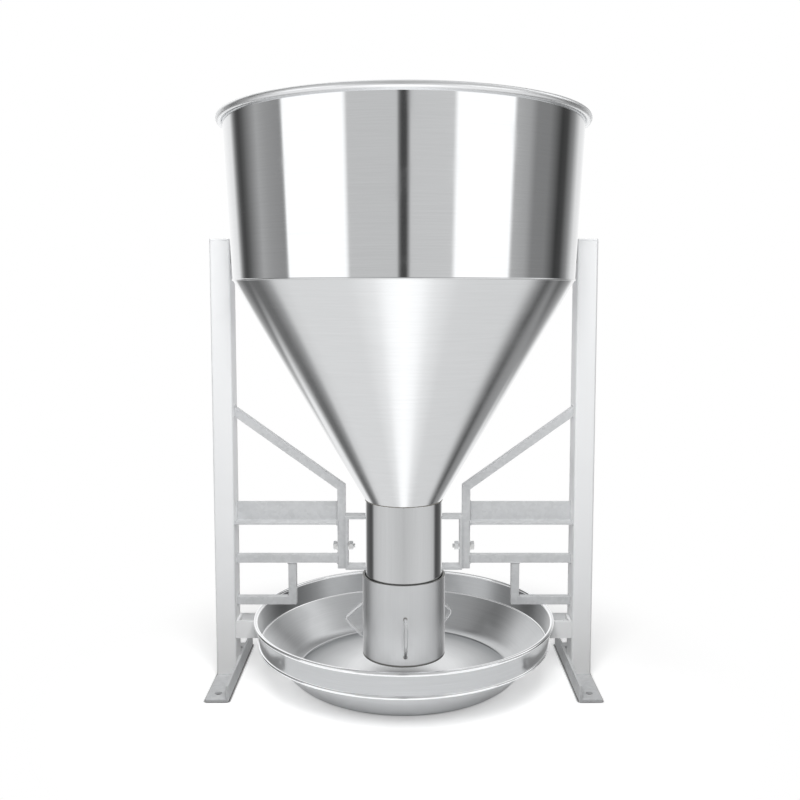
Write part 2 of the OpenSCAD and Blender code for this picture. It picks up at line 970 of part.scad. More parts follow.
module nudge_loop_right() {
  nudge_loop(loop_right_az);
}

hopper_drum();
rim_bead();
hopper_cone();
outlet_tube();
left_post();
right_post();
left_post_cap();
right_post_cap();
left_foot();
right_foot();
left_brace();
right_brace();
left_rail();
right_rail();
left_mid_bar();
right_mid_bar();
left_lower_bar();
right_lower_bar();
left_tube_strap();
right_tube_strap();
strap_bolts();
strap_nuts();
bowl_pan();
bowl_band();
bowl_rim_bead();
left_bowl_bracket();
right_bowl_bracket();
bracket_bolts();
bridge_bar();
drum_pads();
hopper_bolts();
post_weld_nuts();
flat_washers();
guide_bush();
key_plate();
key_screw();
hand_nut();
adjusting_rod();
rod_end_nut();
rod_collar();
thrust_washer();
lock_nuts();
feed_sleeve();
sleeve_spider();
nudge_loop_front();
nudge_loop_left();
nudge_loop_right();
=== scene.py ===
"""Looks of a free-standing steel pig feeder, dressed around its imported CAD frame.

Metres, +Z up, with the front towards -Y, as in the frame.
"""
import json
import math

import bmesh
import bpy
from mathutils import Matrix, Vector

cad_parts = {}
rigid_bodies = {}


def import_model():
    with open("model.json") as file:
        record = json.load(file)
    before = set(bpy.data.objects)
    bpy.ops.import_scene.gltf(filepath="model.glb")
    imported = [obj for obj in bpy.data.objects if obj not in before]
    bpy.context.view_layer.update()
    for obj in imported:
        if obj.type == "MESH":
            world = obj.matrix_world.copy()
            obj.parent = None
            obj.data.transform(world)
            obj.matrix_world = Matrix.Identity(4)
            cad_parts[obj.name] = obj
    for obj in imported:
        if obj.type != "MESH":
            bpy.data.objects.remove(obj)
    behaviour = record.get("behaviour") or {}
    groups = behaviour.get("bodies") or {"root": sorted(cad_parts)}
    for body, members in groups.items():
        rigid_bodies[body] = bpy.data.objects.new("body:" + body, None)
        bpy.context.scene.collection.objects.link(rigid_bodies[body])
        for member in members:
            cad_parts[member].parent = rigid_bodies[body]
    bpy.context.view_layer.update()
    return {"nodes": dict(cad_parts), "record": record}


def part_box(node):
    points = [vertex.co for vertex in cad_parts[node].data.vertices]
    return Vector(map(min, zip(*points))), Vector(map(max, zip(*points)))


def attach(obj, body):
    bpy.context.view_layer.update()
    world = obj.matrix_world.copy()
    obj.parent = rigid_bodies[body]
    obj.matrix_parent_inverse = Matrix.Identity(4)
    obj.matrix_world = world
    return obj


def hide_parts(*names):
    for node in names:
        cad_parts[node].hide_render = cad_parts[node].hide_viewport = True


for leftover in list(bpy.data.objects):
    bpy.data.objects.remove(leftover)
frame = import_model()

MM = 0.001
NODES = frame["nodes"]
STAND, HAND_NUT, ROD, SLEEVE = "stand_and_hopper", "hand_nut", "rod", "sleeve"
SIDES = ("left", "right")

# The photograph's view: frame, focal length and lens axis in pixels, sensor in millimetres, eye in metres
IMAGE = 800
FOCAL = 923.5
LENS_AXIS = (403.8, 372.0)
SENSOR = 36.0
EYE = (0.0, -1.4686, 0.623)
EYE_PITCH = math.radians(5.04)

# Sheet and section sizes that the boxes of the nodes don't give
SHEET = 1.5 * MM
SHEET_EDGE = 0.5 * MM
LAP_GAP = 0.1 * MM
CONE_FOLD = 3 * MM
HOPPER_SEAM_R = 1.3 * MM
BOWL_SEAM_R = 2.6 * MM
SLEEVE_LIP_ROOM = 1.2 * MM
BOWL_FLOOR_R = 155 * MM
BOWL_RING_R = 172 * MM
BOWL_RING_W = 5 * MM
BOWL_RING_H = 1.2 * MM
BOWL_BEND_R = 45 * MM
BOWL_LEDGE = 4 * MM

# Fineness of the turned pieces
ROUND_STEPS = 240
BEAD_STEPS = 28
BEND_STEPS = 24
PRESSED_STEPS = 8
RING_STEP = 12 * MM
EDGE_HOLD = 1 * MM
HOLD_FROM = 4 * EDGE_HOLD
CORNER_STEPS = 4
CORNER_SHARE = 0.45


# Camera, stage and light

def add_camera():
    """The photograph's camera."""
    data = bpy.data.cameras.new("camera")
    data.sensor_fit = "HORIZONTAL"
    data.sensor_width = SENSOR
    data.lens = FOCAL / IMAGE * SENSOR
    data.shift_x = (IMAGE / 2 - LENS_AXIS[0]) / IMAGE
    data.shift_y = (LENS_AXIS[1] - IMAGE / 2) / IMAGE
    camera = bpy.data.objects.new("camera", data)
    camera.location = EYE
    camera.rotation_euler = (math.pi / 2 - EYE_PITCH, 0, 0)
    bpy.context.scene.collection.objects.link(camera)
    bpy.context.scene.camera = camera


def add(tree, kind, inputs=None, **settings):
    """Adds a node with its settings. An input is a plain value or another node's output."""
    node = tree.nodes.new(kind)
    for name, value in settings.items():
        setattr(node, name, value)
    for key, value in (inputs or {}).items():
        if isinstance(value, bpy.types.NodeSocket):
            tree.links.new(value, node.inputs[key])
        else:
            node.inputs[key].default_value = value
    return node


def calc(tree, operation, *values):
    """The output of a Math node."""
    return add(tree, "ShaderNodeMath", dict(enumerate(values)), operation=operation).outputs[0]


def between(tree, value, low, high, to_low=0.0, to_high=1.0, smooth=False):
    """The output of a Map Range node."""
    kind = "SMOOTHSTEP" if smooth else "LINEAR"
    inputs = {0: value, 1: low, 2: high, 3: to_low, 4: to_high}
    return add(tree, "ShaderNodeMapRange", inputs, interpolation_type=kind).outputs[0]


def blend_colours(tree, factor, first, second):
    """The colour output of a Mix node, whose colours are its inputs 6 and 7."""
    return add(tree, "ShaderNodeMix", {0: factor, 6: first, 7: second}, data_type="RGBA").outputs[2]


def grey(value):
    """An opaque grey."""
    return (value, value, value, 1.0)


# Brightness of the studio that metal mirrors, by compass angle from the front, positive to the right:
# at eye level, below it, towards the floor and above eye level
STUDIO_LEVEL = [
    (-180, 1.15), (-146, 1.0), (-136, 0.9), (-130, 0.28), (-126, 0.1), (-122, 0.07), (-117, 0.12),
    (-110, 0.25), (-101, 0.44), (-92, 0.36), (-79, 0.3), (-77.5, 1.3), (-36, 1.3), (-34, 0.64), (-4, 0.64),
    (-2.4, 0.07), (2.2, 0.07), (3.8, 0.68), (30, 0.69), (32, 1.3), (69, 1.3), (71, 0.5), (82, 0.42),
    (88, 0.26), (100, 0.25), (106, 0.16), (113, 0.05), (120, 0.07), (130, 0.3), (142, 0.85), (180, 1.15),
]
STUDIO_LOW = [
    (-180, 1.0), (-160, 0.95), (-150, 0.4), (-140, 0.16), (-116, 0.08), (-108, 0.12), (-98, 0.56),
    (-80, 0.68), (-50, 0.72), (-20, 0.66), (0, 0.6), (20, 0.66), (50, 0.72), (80, 0.68), (98, 0.56),
    (108, 0.12), (116, 0.08), (136, 0.14), (148, 0.4), (158, 0.95), (180, 1.0),
]
STUDIO_FLOOR = [
    (-180, 1.0), (-142, 1.0), (-136, 0.5), (-131, 0.18), (-124, 0.16), (-118, 0.28), (-114, 0.4),
    (-109, 0.76), (-98, 0.84), (-52, 0.84), (-30, 0.98), (-16, 1.22), (0, 1.3), (16, 1.22), (30, 0.98),
    (52, 0.8), (100, 0.78), (106, 0.72), (115, 0.3), (122, 0.1), (130, 0.3), (142, 0.36), (150, 0.9),
    (156, 1.0), (180, 1.0),
]
STUDIO_HIGH = [
    (-180, 0.9), (-158, 0.9), (-146, 1.2), (-132, 1.0), (-123, 0.35), (-114, 0.05), (-102, 0.06),
    (-90, 0.5), (-72, 0.6), (-36, 0.55), (0, 0.42), (36, 0.55), (80, 0.55), (94, 0.6), (104, 1.4),
    (115, 1.4), (124, 0.6), (134, 0.25), (148, 0.25), (158, 0.7), (180, 0.9),
]
# Heights in degrees over which the studio passes from floor to low, to level and to high
LOW_FROM = (-24, -19)
LEVEL_FROM = (-10.5, -8)
HIGH_FROM = (8, 20)
HALF_TURN = 180
AMBIENT = 0.13


def add_studio():
    """A white surround for the camera, even light for paint, and bright and dark walls for mirrors."""
    world = bpy.data.worlds.new("studio")
    bpy.context.scene.world = world
    world.use_nodes = True
    tree = world.node_tree
    tree.nodes.clear()
    way = add(tree, "ShaderNodeSeparateXYZ", {0: add(tree, "ShaderNodeTexCoord").outputs["Generated"]})
    turn = calc(tree, "ARCTAN2", way.outputs[0], calc(tree, "MULTIPLY", way.outputs[1], -1.0))
    place = between(tree, turn, -math.pi, math.pi)

    def band(levels):
        """A row of the studio, as a colour by compass angle."""
        ramp = add(tree, "ShaderNodeValToRGB", {0: place})
        stops = ramp.color_ramp.elements
        while len(stops) < len(levels):
            stops.new(1.0)
        for stop, (angle, level) in zip(stops, levels):
            stop.position = (angle + HALF_TURN) / (2 * HALF_TURN)
            stop.color = grey(level)
        return ramp.outputs[0]

    def rise(low, high):
        """0 below the low angle, 1 above the high one."""
        low, high = (math.sin(math.radians(angle)) for angle in (low, high))
        return between(tree, way.outputs[2], low, high, smooth=True)

    mirrored = blend_colours(tree, rise(*LOW_FROM), band(STUDIO_FLOOR), band(STUDIO_LOW))
    mirrored = blend_colours(tree, rise(*LEVEL_FROM), mirrored, band(STUDIO_LEVEL))
    mirrored = blend_colours(tree, rise(*HIGH_FROM), mirrored, band(STUDIO_HIGH))
    ray = add(tree, "ShaderNodeLightPath")
    seen = blend_colours(tree, ray.outputs["Is Glossy Ray"], grey(AMBIENT), mirrored)
    seen = blend_colours(tree, ray.outputs["Is Camera Ray"], seen, grey(1.0))
    seen = blend_colours(tree, ray.outputs["Is Transmission Ray"], seen, grey(1.0))
    surround = add(tree, "ShaderNodeBackground", {"Color": seen, "Strength": 1.0})
    add(tree, "ShaderNodeOutputWorld", {"Surface": surround.outputs[0]})


# Place, size and power of each lamp
LAMPS = {
    "key_lamp": ((0.0, -0.95, 1.2), 0.7, 15.0),
    "side_lamp": ((-1.4, -0.3, 1.2), 0.8, 3.0),
    "back_lamp": ((0.3, 1.5, 1.5), 1.2, 5.0),
}
LAMP_TARGET = Vector((0, 0, 0.5))


def add_lamps():
    """Soft lamps for the paint. Metal mirrors the studio, so the lamps don't show in it."""
    for name, (place, size, power) in LAMPS.items():
        data = bpy.data.lights.new(name, "AREA")
        data.size = size
        data.energy = power
        lamp = bpy.data.objects.new(name, data)
        lamp.location = place
        lamp.rotation_euler = (LAMP_TARGET - lamp.location).to_track_quat("-Z", "Y").to_euler()
        lamp.visible_glossy = False
        bpy.context.scene.collection.objects.link(lamp)


# The floor's shades, and the reaches from its middle between which they change
FLOOR_R = 1.1
FLOOR_STEPS = 96
FLOOR_PALE = 0.93
FLOOR_BOUNCE = 0.3
FLOOR_FADE = (0.3, 0.58)
FLOOR_GLOW = 0.4
FLOOR_GLOW_MIRRORED = 0.3
BOWL_FOOT = (0.165, 0.22)
FEET_FROM = (0.24, 0.26)
UNDER_BOWL = (0.18, 0.22)

# Contact shade under the feet, and how far from metal the floor is mirrored, by the bowl and by the feet
FLOOR_CONTACT = 5 * MM
CONTACT_DEPTH = 4.0
MIRRORED_WITHIN = (0.06, 0.2)
MIRRORED_FADE = 1.5


def add_floor():
    """A pale floor that takes the shadow and fades into the white surround.

    It throws little light back up. Metal mirrors only the floor close to it, without the contact shade.
    """
    material = bpy.data.materials.new("floor")
    material.use_nodes = True
    tree = material.node_tree
    tree.nodes.clear()
    point = add(tree, "ShaderNodeTexCoord").outputs["Object"]
    reach = add(tree, "ShaderNodeVectorMath", {0: point}, operation="LENGTH").outputs["Value"]
    ray = add(tree, "ShaderNodeLightPath")
    shown = calc(tree, "MAXIMUM", ray.outputs["Is Camera Ray"], ray.outputs["Is Glossy Ray"])
    open_air = add(tree, "ShaderNodeAmbientOcclusion", {"Distance": FLOOR_CONTACT}).outputs["AO"]
    open_air = calc(tree, "POWER", open_air, CONTACT_DEPTH)
    open_air = calc(tree, "MAXIMUM", open_air, between(tree, reach, *FEET_FROM, 1.0, 0.0))
    open_air = calc(tree, "MAXIMUM", open_air, ray.outputs["Is Glossy Ray"])
    pale = blend_colours(tree, shown, grey(FLOOR_BOUNCE), grey(FLOOR_PALE))
    pale = blend_colours(tree, open_air, grey(0.0), pale)
    matt = add(tree, "ShaderNodeBsdfDiffuse", {"Color": pale}).outputs[0]
    # Painted light: for glossy rays the floor glows, with none under the bowl and full glow beyond its
    # foot, so metal mirrors painted shade under the bowl
    glow = between(tree, reach, *BOWL_FOOT, 0.0, FLOOR_GLOW_MIRRORED)
    glow = between(tree, ray.outputs["Is Camera Ray"], 0.0, 1.0, glow, FLOOR_GLOW)
    glow = calc(tree, "MULTIPLY", calc(tree, "MULTIPLY", glow, shown), open_air)
    glow = add(tree, "ShaderNodeEmission", {"Color": grey(1.0), "Strength": glow}).outputs[0]
    lit = add(tree, "ShaderNodeAddShader", {0: matt, 1: glow}).outputs[0]
    white = add(tree, "ShaderNodeEmission", {"Color": grey(1.0), "Strength": 1.0}).outputs[0]
    fade = calc(tree, "MULTIPLY", between(tree, reach, *FLOOR_FADE, smooth=True), open_air)
    seen = add(tree, "ShaderNodeMixShader", {0: fade, 1: lit, 2: white}).outputs[0]
    clear = add(tree, "ShaderNodeBsdfTransparent").outputs[0]
    limit = between(tree, reach, *UNDER_BOWL, *MIRRORED_WITHIN)
    gone = calc(tree, "MULTIPLY", limit, MIRRORED_FADE)
    far = between(tree, ray.outputs["Ray Length"], limit, gone, smooth=True)
    far = calc(tree, "MULTIPLY", far, ray.outputs["Is Glossy Ray"])
    mixed = add(tree, "ShaderNodeMixShader", {0: far, 1: seen, 2: clear})
    add(tree, "ShaderNodeOutputMaterial", {"Surface": mixed.outputs[0]})
    mesh = bpy.data.meshes.new("floor")
    shape = bmesh.new()
    bmesh.ops.create_circle(shape, cap_ends=True, segments=FLOOR_STEPS, radius=FLOOR_R)
    shape.to_mesh(mesh)
    shape.free()
    mesh.materials.append(material)
    floor = bpy.data.objects.new("floor", mesh)
    bpy.context.scene.collection.objects.link(floor)


# Shader groups that several finishes share

SMUDGE_EDGE = (-0.12, 0.18)
FINE_SKIN = 6.0


def new_group(name, inputs, outputs):
    """A shader group with named sockets: (name, kind, default value)."""
    tree = bpy.data.node_groups.new(name, "ShaderNodeTree")
    for label, kind, value in inputs:
        socket = tree.interface.new_socket(label, in_out="INPUT", socket_type=kind)
        if value is not None:
            socket.default_value = value
    for label, kind in outputs:
        tree.interface.new_socket(label, in_out="OUTPUT", socket_type=kind)
    return tree, tree.nodes.new("NodeGroupInput").outputs, tree.nodes.new("NodeGroupOutput").inputs


FLOAT, VECTOR, INTEGER = "NodeSocketFloat", "NodeSocketVector", "NodeSocketInt"


def round_place_group():
    """Turns a point into turn about Z, distance from Z and height, with the join at the back."""
    tree, given, result = new_group("round place", [("Point", VECTOR, None)], [("Place", VECTOR)])
    part = add(tree, "ShaderNodeSeparateXYZ", {0: given["Point"]}).outputs
    turn = calc(tree, "ARCTAN2", part[0], calc(tree, "MULTIPLY", part[1], -1.0))
    flat = add(tree, "ShaderNodeCombineXYZ", {0: part[0], 1: part[1]})
    reach = add(tree, "ShaderNodeVectorMath", {0: flat.outputs[0]}, operation="LENGTH").outputs["Value"]
    place = add(tree, "ShaderNodeCombineXYZ", {0: turn, 1: reach, 2: part[2]})
    tree.links.new(place.outputs[0], result["Place"])
    return tree


def grain_group():
    """Fine drawn lines: a noise pulled out along one direction by the stretch."""
    tree, given, result = new_group(
        "drawn grain",
        [("Point", VECTOR, None), ("Stretch", VECTOR, (1, 1, 1))],
        [("Grain", FLOAT)],
    )
    inputs = {0: given["Point"], 1: given["Stretch"]}
    pulled = add(tree, "ShaderNodeVectorMath", inputs, operation="MULTIPLY").outputs[0]
    inputs = {"Vector": pulled, "Scale": 1.0, "Detail": 3.0, "Roughness": 0.6}
    noise = add(tree, "ShaderNodeTexNoise", inputs)
    tree.links.new(noise.outputs[0], result["Grain"])
    return tree


def smudge_group():
    """Soft patches, from 0 to 1, where hands and cloths have dulled the surface."""
    tree, given, result = new_group(
        "smudges",
        [("Point", VECTOR, None), ("Size", FLOAT, 0.08), ("Cover", FLOAT, 0.5)],
        [("Smudge", FLOAT)],
    )
    scale = calc(tree, "DIVIDE", 1.0, given["Size"])
    inputs = {"Vector": given["Point"], "Scale": scale, "Detail": 4.0, "Distortion": 0.6}
    noise = add(tree, "ShaderNodeTexNoise", inputs).outputs[0]
    edge = calc(tree, "SUBTRACT", 1.0, given["Cover"])
    start, end = (calc(tree, "ADD", edge, step) for step in SMUDGE_EDGE)
    patch = between(tree, noise, start, end, smooth=True)
    tree.links.new(patch, result["Smudge"])
    return tree


def speckle_group():
    """Small crystals of zinc or paint: a lightness from 0 to 1 for each cell, and a fine height."""
    tree, given, result = new_group(
        "speckle",
        [("Point", VECTOR, None), ("Cell", FLOAT, 0.006)],
        [("Cell lightness", FLOAT), ("Height", FLOAT)],
    )
    scale = calc(tree, "DIVIDE", 1.0, given["Cell"])
    cells = add(tree, "ShaderNodeTexVoronoi", {"Vector": given["Point"], "Scale": scale})
    lightness = add(tree, "ShaderNodeSeparateColor", {0: cells.outputs["Color"]}).outputs[0]
    fine = {"Vector": given["Point"], "Scale": calc(tree, "MULTIPLY", scale, FINE_SKIN), "Detail": 2.0}
    noise = add(tree, "ShaderNodeTexNoise", fine).outputs[0]
    tree.links.new(lightness, result["Cell lightness"])
    tree.links.new(noise, result["Height"])
    return tree


ROUND_PLACE = round_place_group()
GRAIN = grain_group()
SMUDGES = smudge_group()
SPECKLE = speckle_group()


def use(tree, group, inputs):
    """Places a shared group in a material."""
    return add(tree, "ShaderNodeGroup", inputs, node_tree=group).outputs


# Finishes

def new_finish(name, metallic=0.0):
    """A material with one Principled shader, and its Object coordinates."""
    material = bpy.data.materials.new(name)
    material.use_nodes = True
    tree = material.node_tree
    shader = tree.nodes["Principled BSDF"]
    shader.inputs["Metallic"].default_value = metallic
    point = add(tree, "ShaderNodeTexCoord").outputs["Object"]
    return material, tree, shader.inputs, point


def lift(tree, inputs, height, distance, strength=1.0):
    """Feeds a height into the shader's normal through a Bump node."""
    bump = add(tree, "ShaderNodeBump", {"Height": height, "Distance": distance, "Strength": strength})
    tree.links.new(bump.outputs[0], inputs["Normal"])


def tint(tree, inputs, factor, first, second):
    """Feeds a blend of two plain colours into the shader."""
    tree.links.new(blend_colours(tree, factor, (*first, 1), (*second, 1)), inputs["Base Color"])


def roughen(tree, inputs, factor, smooth, dull):
    """Feeds a roughness into the shader, from smooth where the factor is 0 to dull where it is 1."""
    tree.links.new(between(tree, factor, 0.0, 1.0, smooth, dull), inputs["Roughness"])


def smudges(tree, point, size, cover=0.5):
    """Soft patches of about a size, from 0 to 1."""
    return use(tree, SMUDGES, {"Point": point, "Size": size, "Cover": cover})[0]


def speckle(tree, point, cell):
    """The outputs of the speckle group, for cells of a size."""
    return use(tree, SPECKLE, {"Point": point, "Cell": cell})


def wear(tree, smudge, marks, smudge_share):
    """How worn a surface is, from 0 to 1, by its smudges and by its drawn lines or crystals."""
    parts = ((smudge, smudge_share), (marks, 1 - smudge_share))
    return calc(tree, "ADD", *(calc(tree, "MULTIPLY", part, share) for part, share in parts))


def brush(tree, inputs, sheet, lines, lined, ridge):
    """Darkens and lifts sheet along its drawn lines."""
    shade = between(tree, lines, *LINE_RANGE, lined, 0.0)
    tree.links.new(blend_colours(tree, shade, sheet, grey(0.0)), inputs["Base Color"])
    lift(tree, inputs, lines, ridge)


def inner_face(tree):
    """1 on the inner faces of turned sheet, and 0 elsewhere."""
    return add(tree, "ShaderNodeAttribute", attribute_name=INNER).outputs["Fac"]


def steel_sheet(
    name, colour, smooth, dull, stretch, cover=0.45, ridge=0.003, lined=0.08, inner=None, foot=0.0,
    metallic=1.0,
):
    """Stainless sheet: drawn lines and duller smudges. smooth and dull are roughnesses.

    stretch pulls the lines along turn, reach and height. inner is the colour, smooth and dull of the inner
    face, where that differs. It also covers the edge below the height foot.
    """
    material, tree, inputs, point = new_finish(name, metallic)
    inner_colour, inner_smooth, inner_dull = inner or (colour, smooth, dull)
    height = add(tree, "ShaderNodeSeparateXYZ", {0: point}).outputs[2]
    # The inner colour also covers the edge below foot; on the sleeve this band is painted shadow along its
    # bottom edge, with some stain
    inside = calc(tree, "MAXIMUM", inner_face(tree), between(tree, height, foot, foot - MM))
    place = use(tree, ROUND_PLACE, {"Point": point})[0]
    lines = use(tree, GRAIN, {"Point": place, "Stretch": stretch})[0]
    worn = wear(tree, smudges(tree, point, SHEET_SMUDGE, cover), lines, smudge_share=0.55)
    outer_rough = between(tree, worn, *WEAR_RANGE, smooth, dull)
    inner_rough = between(tree, worn, *WEAR_RANGE, inner_smooth, inner_dull)
    roughen(tree, inputs, inside, outer_rough, inner_rough)
    sheet = blend_colours(tree, inside, (*colour, 1), (*inner_colour, 1))
    brush(tree, inputs, sheet, lines, lined, ridge * MM)
    return material


def dish_steel():
    """The bowl's sheet: a floor brushed in circles and a dull inner side, with a brighter underside.

    The floor's colour holds a painted highlight near the sleeve, fading to painted shade towards its ring.
    """
    material, tree, inputs, point = new_finish("bowl_sheet", metallic=1.0)
    place = use(tree, ROUND_PLACE, {"Point": point})[0]
    circles = use(tree, GRAIN, {"Point": place, "Stretch": FLOOR_CIRCLES})[0]
    reach = add(tree, "ShaderNodeSeparateXYZ", {0: place}).outputs[1]
    side = between(tree, reach, BOWL_RING_R - BOWL_RING_EDGE, BOWL_RING_R + BOWL_RING_EDGE, smooth=True)
    inside = inner_face(tree)
    worn = wear(tree, smudges(tree, point, DISH_SMUDGE), circles, smudge_share=0.5)
    under_rough = between(tree, worn, *WEAR_RANGE, *UNDERSIDE_ROUGH)
    inner_rough = between(tree, worn, *WEAR_RANGE, *BOWL_ROUGH)
    roughen(tree, inputs, inside, under_rough, inner_rough)
    # Painted highlight near the sleeve, fading outwards into painted shade
    floor_highlight = between(tree, reach, *FLOOR_HIGHLIGHT_REACH, 1.0, 0.0)
    floor = blend_colours(tree, floor_highlight, (*SHADED_FLOOR_STEEL, 1), (*FLOOR_HIGHLIGHT_STEEL, 1))
    within = blend_colours(tree, side, floor, (*BOWL_SIDE_STEEL, 1))
    sheet = blend_colours(tree, inside, (*PLAIN_STEEL, 1), within)
    brush(tree, inputs, sheet, circles, lined=0.08, ridge=0.03 * MM)
    return material


def pale_coat():
    """Pale satin coating with a fine skin and a little dust towards the floor."""
    material, tree, inputs, point = new_finish("pale_coating")
    smudge = smudges(tree, point, size=120 * MM, cover=0.4)
    height = add(tree, "ShaderNodeSeparateXYZ", {0: point}).outputs[2]
    dust = between(tree, height, DUST_TOP, 0.0, 0.0, DUST_COVER, smooth=True)
    clean = blend_colours(tree, calc(tree, "MULTIPLY", smudge, 0.5), (*COAT, 1), (*DULL_COAT, 1))
    tree.links.new(blend_colours(tree, dust, clean, (*FEED_DUST, 1)), inputs["Base Color"])
    roughen(tree, inputs, smudge, smooth=0.36, dull=0.52)
    fine_skin = speckle(tree, point, cell=2.2 * MM)["Height"]
    lift(tree, inputs, fine_skin, distance=0.05 * MM, strength=0.6)
    return material


def zinc_bar():
    """Matt galvanised bar with faint crystals."""
    material, tree, inputs, point = new_finish("zinc_bar")
    speck = speckle(tree, point, cell=5 * MM)
    smudge = smudges(tree, point, size=60 * MM, cover=0.45)
    mixed = wear(tree, smudge, speck["Cell lightness"], smudge_share=0.5)
    tint(tree, inputs, mixed, PALE_ZINC, DARK_ZINC)
    roughen(tree, inputs, mixed, smooth=0.38, dull=0.56)
    lift(tree, inputs, speck["Height"], distance=0.06 * MM, strength=0.6)
    return material


def smudged_metal(name, metallic, size, clean, dull, rough):
    """Metal with soft, duller patches, with the parts of its material. rough is from clean to dull."""
    material, tree, inputs, point = new_finish(name, metallic)
    smudge = smudges(tree, point, size)
    tint(tree, inputs, smudge, clean, dull)
    roughen(tree, inputs, smudge, *rough)
    return material, tree, inputs, point


def bright_zinc():
    """Plated fasteners, with a fine skin."""
    material, tree, inputs, point = smudged_metal(
        "bright_plating", metallic=1.0, size=12 * MM, clean=PLATING, dull=DULL_PLATING, rough=(0.2, 0.36)
    )
    fine_skin = speckle(tree, point, cell=1.5 * MM)["Height"]
    lift(tree, inputs, fine_skin, distance=0.02 * MM, strength=0.5)
    return material


def drawn_wire():
    """Galvanised wire, paler and less of a mirror than sheet."""
    return smudged_metal(
        "drawn_wire", metallic=0.5, size=30 * MM, clean=PALE_WIRE, dull=DULL_WIRE, rough=(0.24, 0.34)
    )[0]


def weld_metal():
    """Weld runs, dulled and slightly straw-coloured by heat."""
    return smudged_metal(
        "weld_run", metallic=1.0, size=6 * MM, clean=STRAW_WELD, dull=DARK_WELD, rough=(0.32, 0.5)
    )[0]


def dusty_rubber():
    """Black rubber, greyed by feed dust."""
    material, tree, inputs, point = new_finish("pad_rubber")
    speck = speckle(tree, point, cell=2 * MM)
    bare = calc(tree, "MULTIPLY", speck["Cell lightness"], RUBBER_BARED)
    tint(tree, inputs, bare, DUSTY_RUBBER, BARE_RUBBER)
    inputs["Roughness"].default_value = RUBBER_ROUGH
    lift(tree, inputs, speck["Height"], distance=0.1 * MM, strength=0.7)
    return material


INNER = "inner_face"

# Colours
STEEL = (0.80, 0.81, 0.82)
BRIGHT_STEEL = (0.94, 0.95, 0.96)
SATIN = (0.74, 0.75, 0.77)
PLAIN_STEEL = (0.68, 0.69, 0.70)
# Steel dulled by feed, darkened further as painted shade inside the sleeve and painted shadow along its
# bottom edge
FED_AND_SHADED_STEEL = (0.2, 0.2, 0.19)
BAND_STEEL = (0.46, 0.47, 0.48)
BAND_OUTER_STEEL = (0.54, 0.55, 0.56)
BOWL_SIDE_STEEL = (0.62, 0.63, 0.64)
# Bowl floor colours: painted shade towards its ring and a painted highlight near the sleeve
SHADED_FLOOR_STEEL = (0.30, 0.31, 0.32)
FLOOR_HIGHLIGHT_STEEL = (0.88, 0.89, 0.90)
COAT = (0.86, 0.87, 0.88)
DULL_COAT = (0.81, 0.82, 0.83)
FEED_DUST = (0.70, 0.69, 0.67)
PALE_ZINC = (0.64, 0.65, 0.66)
DARK_ZINC = (0.53, 0.54, 0.55)
PLATING = (0.85, 0.86, 0.87)
DULL_PLATING = (0.76, 0.76, 0.75)
PALE_WIRE = (0.74, 0.75, 0.76)
DULL_WIRE = (0.68, 0.69, 0.70)
STRAW_WELD = (0.36, 0.35, 0.33)
DARK_WELD = (0.24, 0.22, 0.19)
DUSTY_RUBBER = (0.38, 0.38, 0.37)
BARE_RUBBER = (0.28, 0.28, 0.28)

# Where dirt, wear, painted shade and a painted highlight lie, and how rough they leave the sheet
# Height of the sleeve's dark bottom edge: painted shadow of the gap under it, with some stain
SLEEVE_STAIN_AND_SHADOW = 3.5 * MM
# Reaches over which the bowl floor's painted highlight fades into painted shade
FLOOR_HIGHLIGHT_REACH = (85 * MM, 170 * MM)
BOWL_RING_EDGE = 3 * MM
BOWL_ROUGH = (0.3, 0.42)
UNDERSIDE_ROUGH = (0.13, 0.26)
SHEET_SMUDGE = 90 * MM
DISH_SMUDGE = 70 * MM
DUST_TOP = 160 * MM
DUST_COVER = 0.35
RUBBER_BARED = 0.4
RUBBER_ROUGH = 0.7
WEAR_RANGE = (0.1, 0.9)
LINE_RANGE = (0.3, 0.7)

# Drawn lines: cycles along turn, reach and height
ROUND_LINES = (3.0, 40.0, 700.0)
CONE_LINES = (3.0, 500.0, 500.0)
TUBE_LINES = (220.0, 40.0, 6.0)
FINE_LINES = (3.0, 40.0, 900.0)
FLOOR_CIRCLES = (2.0, 900.0, 60.0)

POLISHED = steel_sheet(
    "polished_sheet", STEEL, 0.05, 0.12, ROUND_LINES, ridge=0.002, lined=0.05, inner=(STEEL, 0.12, 0.22)
)
CONE_SHEET = steel_sheet(
    "cone_sheet", STEEL, 0.09, 0.17, CONE_LINES, ridge=0.002, lined=0.04, inner=(STEEL, 0.16, 0.28)
)
TUBE_SHEET = steel_sheet("tube_sheet", STEEL, 0.08, 0.15, TUBE_LINES, cover=0.35)
# The sleeve's dark inner face and bottom edge are painted shade and shadow, with some dulling by feed
SLEEVE_SHEET = steel_sheet(
    "sleeve_sheet", PLAIN_STEEL, 0.3, 0.4, TUBE_LINES, cover=0.35, ridge=0.01,
    inner=(FED_AND_SHADED_STEEL, 0.4, 0.5), foot=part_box("feed_sleeve")[0].z + SLEEVE_STAIN_AND_SHADOW, metallic=0.75,
)
RIM_STEEL = steel_sheet("rim_steel", BRIGHT_STEEL, 0.06, 0.12, ROUND_LINES, ridge=0.001, lined=0.03)
HOPPER_RIM = steel_sheet("hopper_rim", BRIGHT_STEEL, 0.3, 0.4, ROUND_LINES, ridge=0.001, lined=0.03)
BAND_SHEET = steel_sheet(
    "band_sheet", BAND_OUTER_STEEL, 0.13, 0.22, ROUND_LINES, inner=(BAND_STEEL, 0.3, 0.4)
)
SATIN_SHEET = steel_sheet("satin_sheet", SATIN, 0.24, 0.36, FINE_LINES, ridge=0.02)
DISH = dish_steel()
PAINT = pale_coat()
ZINC = zinc_bar()
BRIGHT = bright_zinc()
WIRE_STEEL = drawn_wire()
